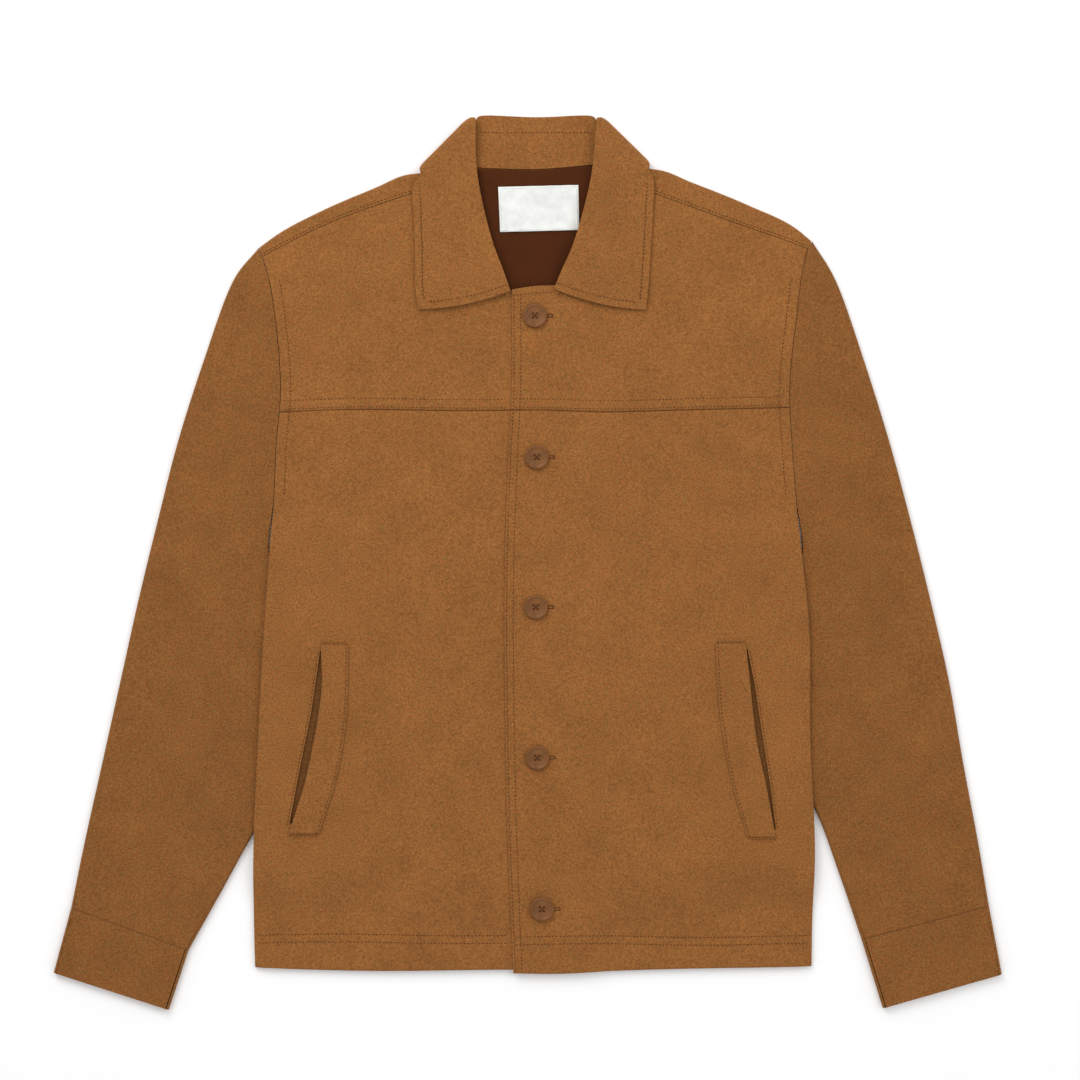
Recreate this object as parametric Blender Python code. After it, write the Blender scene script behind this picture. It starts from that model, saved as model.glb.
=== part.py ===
"""Suede button-front jacket laid flat on its back: modelled from the pieces it is cut from.

X runs across the body (wearer's right is -X), Y from hem to collar, Z up off the table.
Lengths are in millimetres until the meshes are made.
"""
import math

import bmesh
import bpy
import numpy as np

MM = 0.001

# Walls, and the small gaps that keep neighbouring pieces apart
WALL = 1.6              # suede
COLLAR_WALL = 2.0       # two suede plies and interfacing
CUFF_WALL = 2.0
WELT_WALL = 2.0
THIN_WALL = 1.0         # lining, pocket facing, label
SEAM = 0.3
COLLAR_PLY_GAP = 0.5
PLY_ROOM = 2.0          # room between the back wall and the front wall

BODY_TOP = 2 * WALL + PLY_ROOM
FOLD_RADIUS = BODY_TOP / 2
LAP_STEP = WALL + SEAM                              # left front over right front
OVER_SLEEVE = BODY_TOP + 0.6                        # body lifted by the sleeve under its side
OVER_COLLAR = COLLAR_WALL + SEAM                    # back lifted by the collar leaf under it
STAND_BOTTOM = COLLAR_WALL + COLLAR_PLY_GAP
STAND_TOP = OVER_COLLAR + BODY_TOP + SEAM + WALL
ROLL_CENTRE = (STAND_BOTTOM + STAND_TOP) / 2        # height of the collar's two side folds
SIDE_DROP = PLY_ROOM - 0.5                          # front side edges come down onto the back

# Where the left front climbs onto the right front's underlap (x)
UNDERLAP_EDGE = 32.0
LAP_FLAT_TO = 46.0
LAP_DOWN_AT = 82.0

# Side of the body and armhole, read upward from the hem: y, x on the wearer's right, x on the left
SIDE_COLUMNS = ("y", "right_x", "left_x")
SIDE = np.array([
    (-366, -245.0, 255.0),
    (-330, -246.0, 255.5),
    (-259, -246.0, 257.5),
    (-162, -242.0, 253.5),
    (-52, -236.0, 252.0),
    (11, -231.5, 245.5),
    (57, -228.0, 241.0),
    (110, -225.5, 237.0),
    (150, -222.0, 235.0),
    (183, -223.0, 237.0),
    (217, -226.5, 241.0),
    (257, -233.0, 246.0),
    (283, -241.0, 251.6),
])

# Free edge of the left front: y, x
FRONT_EDGE = np.array([
    (-369.5, -13.0),
    (-310, -15.5),
    (-230, -18.5),
    (-150, -20.0),
    (-40, -21.0),
    (40, -19.5),
    (100, -17.0),
    (150, -14.5),
    (246, -14.5),
])

# Yoke seam: x, y
YOKE = np.array([
    (-230, 134.5),
    (-160, 137.0),
    (-52, 136.0),
    (10, 136.5),
    (65, 135.0),
    (150, 137.0),
    (240, 139.0),
])

# Hems: x, y
RIGHT_HEM = np.array([(-245, -364), (-130, -367), (-15, -366), (UNDERLAP_EDGE, -366)])
LEFT_HEM = np.array([(-13, -369), (21, -369.5), (74, -367), (255, -363)])
BACK_HEM = np.array([(-245, -363.5), (5, -364.5), (255, -362.5)])

# Shoulders from the armhole to the neck: fold x, y (the outline) and forward seam x, y
RIGHT_SHOULDER = np.array([
    (-241, 283, -238, 274.5),
    (-226, 294, -216, 286.5),
    (-187, 315, -180, 304),
    (-136, 337, -129, 323),
    (-109, 348, -104, 331),
    (-95, 349.5, -90, 335.5),
    (-80, 350, -76, 339),
])
LEFT_SHOULDER = np.array([
    (255, 288.5, 251.5, 281.5),
    (242.5, 299, 232, 289),
    (198, 321, 190, 303.5),
    (146, 342, 138, 322.5),
    (120, 352, 113, 331),
    (108, 353.5, 100, 335.5),
    (90, 354, 84, 340),
])
NECK_SEAM = np.array([(-80, 350), (-46, 352.5), (8.5, 352), (58, 356), (90, 354)])

# Collar, one row per section from the front end to the side fold:
# roll x, y; leaf edge x, y; neckline x, y; bow of the section; how far the leaf's edge settles
COLLAR_COLUMNS = ("roll_x", "roll_y", "edge_x", "edge_y", "neck_x", "neck_y", "bow", "settle")
RIGHT_COLLAR = np.array([
    (-15.5, 243.5, -98.0, 227.0, -21.5, 242.5, -4.0, 1.6),
    (-22.0, 262.0, -100.5, 245.0, -38.0, 258.0, -1.5, 1.6),
    (-31.0, 286.0, -101.0, 275.0, -55.0, 281.0, 0.0, 1.6),
    (-40.0, 320.0, -102.0, 312.0, -70.0, 314.0, 0.0, 1.6),
    (-46.0, 356.0, -103.0, 335.0, -77.0, 336.5, 0.0, 1.0),
    (-46.8, 397.8, -95.3, 348.8, -86.4, 358.2, 0.0, 0.0),
])
LEFT_COLLAR = np.array([
    (23.5, 245.0, 106.0, 226.7, 29.5, 244.0, -4.0, 1.6),
    (30.5, 262.0, 108.0, 245.0, 46.0, 258.0, -1.5, 1.6),
    (41.0, 286.0, 110.0, 275.0, 65.0, 281.0, 0.0, 1.6),
    (51.0, 320.0, 112.0, 312.0, 80.0, 314.0, 0.0, 1.6),
    (58.0, 354.0, 113.0, 341.0, 85.0, 337.5, 0.0, 1.0),
    (61.8, 397.7, 107.8, 352.7, 101.9, 358.6, 0.0, 0.0),
])
# Back of the collar between the side folds: roll x, y; leaf edge x, y; neckline x, y
BACK_COLLAR = np.array([
    (-30.0, 400.5, -62.0, 334.0, -58.0, 355.4),
    (8.5, 399.8, 8.5, 328.0, 8.5, 353.4),
    (46.0, 400.5, 75.0, 337.0, 72.0, 358.6),
])

# Sleeves, one row per section from armhole to cuff seam: outer edge x, y; inner edge x, y
SLEEVE_COLUMNS = ("outer_x", "outer_y", "inner_x", "inner_y")
RIGHT_SLEEVE = np.array([
    (-241.5, 283.0, -229.8, 46.0),
    (-266.0, 250.5, -232.8, 10.0),
    (-291.0, 182.0, -226.0, -38.0),
    (-314.0, 110.0, -214.0, -82.0),
    (-332.5, 38.0, -206.0, -124.0),
    (-350.0, -34.0, -208.0, -166.0),
    (-366.0, -106.0, -222.0, -206.0),
    (-382.0, -178.0, -246.0, -243.0),
    (-398.0, -250.0, -276.0, -297.0),
    (-410.4, -310.6, -305.0, -349.0),
])
LEFT_SLEEVE = np.array([
    (255.8, 288.3, 243.2, 45.0),
    (278.0, 250.5, 247.0, 10.0),
    (302.0, 182.0, 241.0, -38.0),
    (324.5, 110.0, 229.0, -82.0),
    (344.0, 38.0, 221.0, -122.0),
    (362.0, -34.0, 223.0, -160.0),
    (378.5, -106.0, 236.0, -192.0),
    (391.0, -178.0, 259.0, -224.0),
    (404.5, -250.0, 282.0, -286.0),
    (414.5, -309.0, 300.0, -339.0),
])
# Cuffs: outer and inner corner of the seam, then of the lower edge
RIGHT_CUFF = np.array([(-410.4, -310.6, -305.0, -349.0), (-426.0, -368.5, -322.5, -402.0)])
LEFT_CUFF = np.array([(414.5, -309.0, 300.0, -339.0), (426.0, -370.0, 319.0, -400.5)])

# Pocket mouths, read down from the top: y, lip x, welt free edge x, welt sewn edge x
POCKET_COLUMNS = ("y", "lip_x", "free_x", "sewn_x")
RIGHT_POCKET = np.array([
    (-80, -186.2, -185.2, -160.4),
    (-107, -190.0, -184.2, -160.8),
    (-135, -194.2, -187.2, -162.0),
    (-162, -199.6, -192.0, -165.0),
    (-197, -206.6, -199.5, -172.2),
    (-237, -214.0, -212.0, -184.6),
])
LEFT_POCKET = np.array([
    (-79, 197.0, 196.0, 168.5),
    (-107, 203.0, 199.0, 169.8),
    (-135, 207.2, 202.0, 172.0),
    (-162, 211.5, 205.5, 176.0),
    (-197, 217.0, 213.0, 182.8),
    (-240, 222.4, 221.0, 195.0),
])
WELT_END = 6.0          # the welt runs this far past the mouth at each end
FACING_MARGIN = 12.0    # hidden width of the facing around the mouth

# Neck label: its four corners
LABEL = np.array([(-24.8, 296.4), (46.4, 298.2), (45.5, 338.7), (-26.6, 336.9)])

# Buttons and buttonholes: centre x, y
BUTTONS = [(6.4, 221.2), (8.1, 94.3), (7.2, -40.2), (8.6, -175.2), (12.7, -310.9)]
BUTTON_RADIUS = 10.8
BUTTON_HEIGHT = 3.4
BUTTON_RIM = 2.0
BUTTON_DISH = 0.9
THREAD_HOLE_RADIUS = 0.9
THREAD_HOLE_OFFSET = 1.9
SHANK_RADIUS = 1.1
BUTTONHOLE_WIDTH = 3.2
BUTTONHOLE_BACK = 3.0   # from the button's centre toward the front edge
BUTTONHOLE_AHEAD = 15.0

# Plain colours: linear RGB, roughness
SUEDE = ("suede", (0.300, 0.120, 0.030), 0.95)
LINING = ("lining", (0.070, 0.018, 0.004), 0.55)
LABEL_CLOTH = ("label", (0.900, 0.900, 0.870), 0.80)
BUTTON = ("button", (0.240, 0.100, 0.030), 0.45)


def ease(t):
    """Smooth step: 0 below 0, 1 above 1."""
    t = np.clip(t, 0.0, 1.0)
    return t * t * (3.0 - 2.0 * t)


def hermite(at, rows, want):
    """Values at want on a smooth curve through rows, which stand at the places in at."""
    slope = np.gradient(rows, at, axis=0)
    k = np.clip(np.searchsorted(at, want, side="right") - 1, 0, len(at) - 2)
    span = (at[k + 1] - at[k])[:, None]
    t = (want[:, None] - at[k][:, None]) / span
    start = (1 + 2 * t) * (1 - t) ** 2 * rows[k] + t * (1 - t) ** 2 * span * slope[k]
    end = t * t * (3 - 2 * t) * rows[k + 1] + t * t * (t - 1) * span * slope[k + 1]
    return start + end


def along(points, count):
    """count points evenly spaced along a smooth curve through the given points."""
    rows = np.asarray(points, float)
    step = np.linalg.norm(np.diff(rows[:, :2], axis=0), axis=1)
    at = np.concatenate([[0.0], np.cumsum(step)])
    return hermite(at, rows, np.linspace(0.0, at[-1], count))


def sections(table, count):
    """count rows evenly spaced through a table's rows."""
    at = np.arange(len(table), dtype=float)
    return hermite(at, table, np.linspace(0.0, at[-1], count))


def at_value(table, value, column=1):
    """A table's column, read smoothly at values of its first column."""
    value = np.atleast_1d(np.asarray(value, float))
    return hermite(table[:, 0], table[:, [column]], value)[:, 0]


def side_x(y, side):
    """X of the body's side at height y: side -1 is the wearer's right, +1 the left."""
    return at_value(SIDE, y, 1 if side < 0 else 2)


def back_height(x, y):
    """Height of the back's outer face: it rests on the table, the sleeves and the collar leaf."""
    sides = np.maximum(ease((-108.0 - x) / 50.0), ease((x - 115.0) / 50.0))
    over_sleeve = OVER_SLEEVE * sides * ease((50.0 - y) / 35.0) * ease((y + 318.0) / 50.0)
    over_collar = OVER_COLLAR * ease((y - 222.0) / 70.0)
    over_collar = over_collar * ease((x + 140.0) / 36.0) * ease((148.0 - x) / 36.0)
    return over_sleeve + over_collar


def front_height(x, y, lap=True):
    """Height of the fronts' outer face, with the left front's step onto the right one."""
    height = back_height(x, y) + BODY_TOP
    edge = np.where(x < 0, x - side_x(y, -1), side_x(y, 1) - x)
    height = height - SIDE_DROP * (1 - ease(edge / 10.0)) * ease((30.0 - y) / 30.0)
    if lap:
        height = height + LAP_STEP * (1 - ease((x - LAP_FLAT_TO) / (LAP_DOWN_AT - LAP_FLAT_TO)))
    return height


def patch(bottom, top, left, right, spread=None):
    """Grid of plan points between four edges that share their corners."""
    f = np.linspace(0, 1, len(left))[:, None, None]
    g = (np.linspace(0, 1, len(bottom)) if spread is None else spread)[None, :, None]
    ruled = (1 - g) * left[:, None, :] + g * right[:, None, :]
    ruled = ruled + (1 - f) * bottom[None, :, :] + f * top[None, :, :]
    corners = (1 - f) * ((1 - g) * left[0] + g * right[0]) + f * ((1 - g) * left[-1] + g * right[-1])
    return ruled - corners


def look(finish):
    """The Principled material of a finish, made once."""
    name, colour, roughness = finish
    material = bpy.data.materials.get(name)
    if material is None:
        material = bpy.data.materials.new(name)
        material.use_nodes = True
        shader = material.node_tree.nodes["Principled BSDF"]
        shader.inputs["Base Color"].default_value = (*colour, 1.0)
        shader.inputs["Roughness"].default_value = roughness
        shader.inputs["Metallic"].default_value = 0.0
    return material


def solid(name, points, faces, finish):
    """One closed body from points in millimetres."""
    mesh = bpy.data.meshes.new(name)
    mesh.from_pydata([tuple(p * MM) for p in np.asarray(points, float)], [], faces)
    work = bmesh.new()
    work.from_mesh(mesh)
    bmesh.ops.recalc_face_normals(work, faces=work.faces)
    work.to_mesh(mesh)
    work.free()
    mesh.shade_smooth()
    mesh.set_sharp_from_angle(angle=math.radians(50))
    mesh.materials.append(look(finish))
    thing = bpy.data.objects.new(name, mesh)
    bpy.context.scene.collection.objects.link(thing)
    return thing


def wall(name, outer, inner, faces, finish):
    """Close two matching skins into a solid with a rim round their free edges."""
    count = len(outer)
    edges = {(a, b) for face in faces for a, b in zip(face, face[1:] + face[:1])}
    rim = sorted((a, b) for a, b in edges if (b, a) not in edges)
    closed = list(faces)
    closed += [tuple(count + i for i in reversed(face)) for face in faces]
    closed += [(b, a, count + a, count + b) for a, b in rim]
    return solid(name, np.vstack([outer, inner]), closed, finish)


def grid_faces(rows, columns, ring=False, start=0):
    """Quads of a grid of points numbered row by row; a ring closes each row on itself."""
    faces = []
    for row in range(rows - 1):
        for column in range(columns if ring else columns - 1):
            a = start + row * columns + column
            b = start + row * columns + (column + 1) % columns
            faces.append((a, b, b + columns, a + columns))
    return faces


def grid_wall(name, outer, inner, finish, ring=False):
    """Solid between two grids of points."""
    rows, columns = outer.shape[:2]
    faces = grid_faces(rows, columns, ring)
    return wall(name, outer.reshape(-1, 3), inner.reshape(-1, 3), faces, finish)


def lay(name, plan, base, thickness, finish):
    """Solid lying on the height base(x, y), straight up from a grid of plan points."""
    x, y = plan[..., 0], plan[..., 1]
    z = base(x.ravel(), y.ravel()).reshape(x.shape)
    low = np.dstack([x, y, z])
    return grid_wall(name, low + (0, 0, thickness), low, finish)


def shoulder_columns(table, count):
    """Plan of a shoulder: fold points, inward directions and forward seam points."""
    rows = along(table, count)
    fold, seam = rows[:, :2], rows[:, 2:]
    inward = seam - fold
    inward = inward / np.linalg.norm(inward, axis=1)[:, None]
    return fold, inward, seam


def make_back():
    """Back panel: lies on its outer face and folds over each shoulder to the forward seam."""
    rows, arc_steps, strip_steps = 19, 4, 2
    counts = {"right": 8, "neck": 6, "left": 8}
    fold_r, inward_r, seam_r = shoulder_columns(RIGHT_SHOULDER, counts["right"])
    fold_l, inward_l, seam_l = shoulder_columns(LEFT_SHOULDER[::-1], counts["left"])
    turn_r = fold_r + FOLD_RADIUS * inward_r
    turn_l = fold_l + FOLD_RADIUS * inward_l
    neck = along(NECK_SEAM, counts["neck"] + 2)[1:-1]
    top = np.vstack([turn_r, neck, turn_l])
    reach = np.concatenate([[0.0], np.cumsum(np.linalg.norm(np.diff(top, axis=0), axis=1))])
    spread = reach / reach[-1]
    bottom_x = -245.0 + 500.0 * spread
    bottom = np.column_stack([bottom_x, at_value(BACK_HEM, bottom_x)])
    left_y = np.linspace(bottom[0, 1], top[0, 1], rows)
    right_y = np.linspace(bottom[-1, 1], top[-1, 1], rows)
    left = np.column_stack([side_x(left_y, -1), left_y])
    right = np.column_stack([side_x(right_y, 1), right_y])
    left[-1], right[-1], bottom[0], bottom[-1] = top[0], top[-1], left[0], right[0]
    plan = patch(bottom, top, left, right, spread)
    columns = len(top)
    neck_columns = plan[-5:, counts["right"] - 1:columns - counts["left"] + 1]
    height = back_height(plan[..., 0].ravel(), plan[..., 1].ravel())
    flat = np.column_stack([plan.reshape(-1, 2), height])
    outer = [flat]
    inner = [flat + (0, 0, WALL)]
    faces = grid_faces(rows, columns)
    placed = rows * columns
    shoulders = (
        (fold_r, inward_r, seam_r, 0),
        (fold_l, inward_l, seam_l, columns - counts["left"]),
    )
    for fold, inward, seam, first in shoulders:
        width = len(fold)
        centre = fold + FOLD_RADIUS * inward
        floor = back_height(centre[:, 0], centre[:, 1])
        previous = [(rows - 1) * columns + first + i for i in range(width)]
        for step in range(1, arc_steps + strip_steps + 1):
            if step <= arc_steps:
                turn = math.pi * step / arc_steps
                ways = ((FOLD_RADIUS, outer), (FOLD_RADIUS - WALL, inner))
                for radius, skin in ways:
                    plan_row = centre - radius * math.sin(turn) * inward
                    rise = floor + FOLD_RADIUS - radius * math.cos(turn)
                    skin.append(np.column_stack([plan_row, rise]))
            else:
                share = (step - arc_steps) / strip_steps
                plan_row = centre + share * (seam - SEAM * inward - centre)
                rise = back_height(plan_row[:, 0], plan_row[:, 1]) + BODY_TOP
                outer.append(np.column_stack([plan_row, rise]))
                inner.append(np.column_stack([plan_row, rise - WALL]))
            for i in range(width - 1):
                faces.append((previous[i], previous[i + 1], placed + i + 1, placed + i))
            previous = [placed + i for i in range(width)]
            placed += width
    wall("back", np.vstack(outer), np.vstack(inner), faces, SUEDE)
    return neck_columns


def make_right_front():
    """Right front: lower part and yoke, with the underlap that carries the buttons."""
    def base(x, y):
        return front_height(x, y, lap=False) - WALL

    columns, rows = 13, 14
    bottom = along(RIGHT_HEM, columns)
    top_x = np.linspace(side_x(135, -1)[0], UNDERLAP_EDGE, columns)
    seam = np.column_stack([top_x, at_value(YOKE, top_x)])
    left_y = np.linspace(bottom[0, 1], seam[0, 1] - SEAM / 2, rows)
    left = np.column_stack([side_x(left_y, -1), left_y])
    right = along([bottom[-1], seam[-1] - (0, SEAM / 2)], rows)
    plan = patch(bottom, seam - (0, SEAM / 2), left, right)
    lower = lay("front_right_lower", plan, base, WALL, SUEDE)

    edge = along([seam[-1] + (0, SEAM / 2), (UNDERLAP_EDGE, 243)], 5)
    over = along([(UNDERLAP_EDGE, 243), RIGHT_COLLAR[0, 4:6]], 4)
    neckline = along(RIGHT_COLLAR[:-1, 4:6], 7)
    right = np.vstack([edge[:-1], over[:-1], neckline])
    top = along(RIGHT_SHOULDER[:, 2:], columns) - (0, SEAM / 2)
    top[-1] = right[-1]
    left_y = np.linspace(seam[0, 1] + SEAM / 2, top[0, 1], len(right))
    left = np.column_stack([side_x(left_y, -1), left_y])
    top[0] = left[-1]
    plan = patch(seam + (0, SEAM / 2), top, left, right)
    return lower, lay("front_right_upper", plan, base, WALL, SUEDE)


def make_left_front():
    """Left front: lower part and yoke, lying over the right front's underlap."""
    def base(x, y):
        return front_height(x, y) - WALL

    columns, rows = 15, 14
    bottom = along(LEFT_HEM, columns)
    front_x = at_value(FRONT_EDGE, 137)[0]
    top_x = np.linspace(front_x, side_x(138, 1)[0], columns)
    seam = np.column_stack([top_x, at_value(YOKE, top_x)])
    left_y = np.linspace(bottom[0, 1], seam[0, 1] - SEAM / 2, rows)
    left = np.column_stack([at_value(FRONT_EDGE, left_y), left_y])
    right_y = np.linspace(bottom[-1, 1], seam[-1, 1] - SEAM / 2, rows)
    right = np.column_stack([side_x(right_y, 1), right_y])
    seam[0, 0] = left[-1, 0]
    bottom[0] = left[0]
    bottom[-1] = right[0]
    plan = patch(bottom, seam - (0, SEAM / 2), left, right)
    lower = lay("front_left_lower", plan, base, WALL, SUEDE)

    edge_y = np.linspace(seam[0, 1] + SEAM / 2, 244.5, 5)
    edge = np.column_stack([at_value(FRONT_EDGE, edge_y), edge_y])
    over = along([edge[-1], (4, 247), LEFT_COLLAR[0, 4:6] + (-4, 3.5)], 4)
    neckline = along(np.vstack([over[-1:], LEFT_COLLAR[1:-1, 4:6]]), 7)
    left = np.vstack([edge[:-1], over[:-1], neckline])
    top = along(LEFT_SHOULDER[::-1, 2:], columns) - (0, SEAM / 2)
    top[0] = left[-1]
    right_y = np.linspace(seam[-1, 1] + SEAM / 2, top[-1, 1], len(left))
    right = np.column_stack([side_x(right_y, 1), right_y])
    top[-1] = right[-1]
    plan = patch(seam + (0, SEAM / 2), top, left, right)
    return lower, lay("front_left_upper", plan, base, WALL, SUEDE)


def flat_ring(plan, radius, thickness, flat_steps_at):
    """Outer and inner ring round a flattened tube: plan is a row of points from edge to edge."""
    start = plan[1] - plan[0]
    start = start / np.linalg.norm(start)
    end = plan[-2] - plan[-1]
    end = end / np.linalg.norm(end)
    first, last = plan[0] + radius * start, plan[-1] + radius * end
    middle = plan[1:-1]
    rings = []
    for reach in (radius, radius - thickness):
        ring = []
        for turn in flat_steps_at:
            ring.append((*(first - reach * math.sin(turn) * start), radius - reach * math.cos(turn)))
        ring += [(*point, radius + reach) for point in middle]
        for turn in reversed(flat_steps_at):
            ring.append((*(last - reach * math.sin(turn) * end), radius - reach * math.cos(turn)))
        ring += [(*point, radius - reach) for point in middle[::-1]]
        rings.append(ring)
    return rings


def tube(name, rows, thickness):
    """Flattened tube lying on the table, through rows of plan points from edge to edge."""
    turns = [math.pi * k / 4 for k in range(5)]
    outer, inner = [], []
    for plan in rows:
        ring_out, ring_in = flat_ring(plan, FOLD_RADIUS, thickness, turns)
        outer.append(ring_out)
        inner.append(ring_in)
    return grid_wall(name, np.array(outer), np.array(inner), SUEDE, ring=True)


def make_sleeve(name, table, side):
    """Sleeve from the armhole seam to the cuff seam, its underarm lying under the body."""
    count, across = 15, 8
    share = np.linspace(0, 1, across)[:, None]
    ends = sections(table, count)
    seam_y = np.linspace(table[0, 1], table[0, 3], across)
    armhole = np.column_stack([side_x(seam_y, side) + side * SEAM * 2, seam_y])
    armhole[0], armhole[-1] = table[0, :2], table[0, 2:]
    chord = (1 - share) * table[0, :2] + share * table[0, 2:]
    bow = armhole - chord
    rows = []
    for index, (ox, oy, ix, iy) in enumerate(ends):
        line = (1 - share) * (ox, oy) + share * (ix, iy)
        rows.append(line + bow * (1 - ease(index / 4.0)))
    direction = (rows[-2][0] - rows[-1][0]) / np.linalg.norm(rows[-2][0] - rows[-1][0])
    rows[-1] = rows[-1] + SEAM * direction
    return tube(name, rows, WALL)


def make_cuff(name, table):
    """Cuff band from the sleeve's seam to its lower edge."""
    across = 6
    share = np.linspace(0, 1, across)[:, None]
    rows = []
    for part in np.linspace(0, 1, 4):
        ox, oy, ix, iy = (1 - part) * table[0] + part * table[1]
        rows.append((1 - share) * (ox, oy) + share * (ix, iy))
    return tube(name, rows, CUFF_WALL)


def collar_band(name, far, thickness, outer_radius, front_lift, cells):
    """Part of the collar between its roll line and a far edge, folded at both sides of the neck."""
    share = np.linspace(0, 1, cells + 1)[:, None]
    outer, inner = [], []

    def add_front(row, lap):
        roll, edge = row[0:2], row[far:far + 2]
        line = (1 - share) * roll + share * edge
        line = line + (0, 1) * (row[6] * 4 * share * (1 - share))
        lift = front_lift - (row[7] * ease((share[:, 0] - 0.6) / 0.4) if far == 2 else 0.0)
        z = front_height(line[:, 0], line[:, 1], lap) + lift
        outer.append(np.column_stack([line, z + thickness]))
        inner.append(np.column_stack([line, z]))

    def add_fold(row, turn, side):
        roll, fold_end, edge = row[0:2], row[2:4], row[far:far + 2]
        along_fold = (fold_end - roll) / np.linalg.norm(fold_end - roll)
        outward = np.array([-along_fold[1], along_fold[0]]) * side
        line = (1 - share) * roll + share * edge
        for radius, skin in ((outer_radius, outer), (outer_radius - thickness, inner)):
            plan = line + radius * math.sin(turn) * outward
            z = np.full(len(line), ROLL_CENTRE + radius * math.cos(turn))
            skin.append(np.column_stack([plan, z]))

    folds = [math.pi * k / 6 for k in range(7)]
    for row in sections(RIGHT_COLLAR, 11)[:-1]:
        add_front(row, lap=False)
    for turn in folds:
        add_fold(RIGHT_COLLAR[-1], turn, -1)
    ends = (RIGHT_COLLAR[-1:, :6], BACK_COLLAR, LEFT_COLLAR[-1:, :6])
    for row in sections(np.vstack(ends), 11)[1:-1]:
        line = (1 - share) * row[0:2] + share * row[far:far + 2]
        low = np.full(len(line), ROLL_CENTRE - outer_radius)
        outer.append(np.column_stack([line, low]))
        inner.append(np.column_stack([line, low + thickness]))
    for turn in reversed(folds):
        add_fold(LEFT_COLLAR[-1], turn, 1)
    for row in sections(LEFT_COLLAR, 11)[::-1][1:]:
        add_front(row, lap=True)
    return grid_wall(name, np.array(outer), np.array(inner), SUEDE)


def make_collar():
    """Stand and leaf: two nested bands folded flat round the neck."""
    stand_radius = (STAND_TOP - STAND_BOTTOM) / 2
    leaf_radius = stand_radius + COLLAR_PLY_GAP + COLLAR_WALL
    collar_band("collar_stand", 4, WALL, stand_radius, SEAM, 3)
    leaf_lift = SEAM + WALL + COLLAR_PLY_GAP
    collar_band("collar_leaf", 2, COLLAR_WALL, leaf_radius, leaf_lift, 5)


def make_neck_inside(neck_columns):
    """What shows inside the neck: the back lining and the blank label on it."""
    def on_back(x, y):
        return back_height(x, y) + WALL + SEAM

    def on_lining(x, y):
        return on_back(x, y) + THIN_WALL + SEAM

    lay("back_lining", neck_columns, on_back, THIN_WALL, LINING)
    low, high = along(LABEL[:2], 7), along(LABEL[[3, 2]], 7)
    plan = patch(low, high, along(LABEL[[0, 3]], 5), along(LABEL[1:3], 5))
    lay("neck_label", plan, on_lining, THIN_WALL, LABEL_CLOTH)


def make_pocket(side_name, table, front):
    """Slanted pocket: a mouth cut in the front, the welt beside it and the facing behind it."""
    y = np.linspace(table[0, 0], table[-1, 0], 12)
    lip, free, sewn = (at_value(table[::-1], y, column) for column in (1, 2, 3))

    mouth = np.vstack([np.column_stack([lip, y]), np.column_stack([free, y])[::-1]])
    count = len(mouth)
    floor, ceiling = np.full(count, -2.0), np.full(count, 30.0)
    points = np.vstack([np.column_stack([mouth, floor]), np.column_stack([mouth, ceiling])])
    faces = [tuple(range(count)), tuple(range(2 * count - 1, count - 1, -1))]
    faces += [(i, (i + 1) % count, count + (i + 1) % count, count + i) for i in range(count)]
    cut(front, solid(f"pocket_mouth_{side_name}", points, faces, SUEDE))

    y = np.linspace(table[0, 0] + WELT_END, table[-1, 0] - WELT_END, 12)
    free, sewn = (at_value(table[::-1], y, column) for column in (2, 3))
    share = np.linspace(0, 1, 3)[None, :, None]
    across = (1 - share) * np.column_stack([free, y])[:, None] + share * np.column_stack([sewn, y])[:, None]

    def on_front(x, y):
        return front_height(x, y, lap=False) + SEAM

    lay(f"pocket_welt_{side_name}", across, on_front, WELT_WALL, SUEDE)

    away = np.sign(table[0, 1])
    y = np.linspace(table[0, 0] + FACING_MARGIN, table[-1, 0] - FACING_MARGIN, 12)
    middle = at_value(table[::-1], y, 1)
    far = np.column_stack([middle + away * FACING_MARGIN / 2, y])
    near = np.column_stack([middle - away * (FACING_MARGIN + 10.0), y])
    plan = (1 - share) * far[:, None] + share * near[:, None]

    def behind_front(x, y):
        return back_height(x, y) + WALL + PLY_ROOM / 2 - THIN_WALL / 2

    lay(f"pocket_facing_{side_name}", plan, behind_front, THIN_WALL, SUEDE)


def cut(thing, cutter):
    """Take a hidden cutter out of an object."""
    cutter.hide_render = True
    cutter.display_type = "WIRE"
    boolean = thing.modifiers.new(cutter.name, "BOOLEAN")
    boolean.object = cutter
    boolean.operation = "DIFFERENCE"
    boolean.solver = "EXACT"


def make_buttonhole(number, front):
    """Horizontal slit for a button's thread shank."""
    x, y = BUTTONS[number - 1]
    size = (BUTTONHOLE_BACK + BUTTONHOLE_AHEAD, BUTTONHOLE_WIDTH, 20.0)
    centre = (x + (BUTTONHOLE_AHEAD - BUTTONHOLE_BACK) / 2, y, BODY_TOP + LAP_STEP)
    low = [c - s / 2 for c, s in zip(centre, size)]
    high = [c + s / 2 for c, s in zip(centre, size)]
    corners = [(low[0], low[1]), (high[0], low[1]), (high[0], high[1]), (low[0], high[1])]
    points = [(*corner, z) for z in (low[2], high[2]) for corner in corners]
    faces = [(0, 1, 2, 3), (7, 6, 5, 4)]
    faces += [(i, (i + 1) % 4, 4 + (i + 1) % 4, 4 + i) for i in range(4)]
    cut(front, solid(f"buttonhole_{number}", points, faces, SUEDE))


def ring_of(radius, z, sides):
    """Points of a level circle."""
    turns = [2 * math.pi * k / sides for k in range(sides)]
    return [(radius * math.cos(t), radius * math.sin(t), z) for t in turns]


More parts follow.
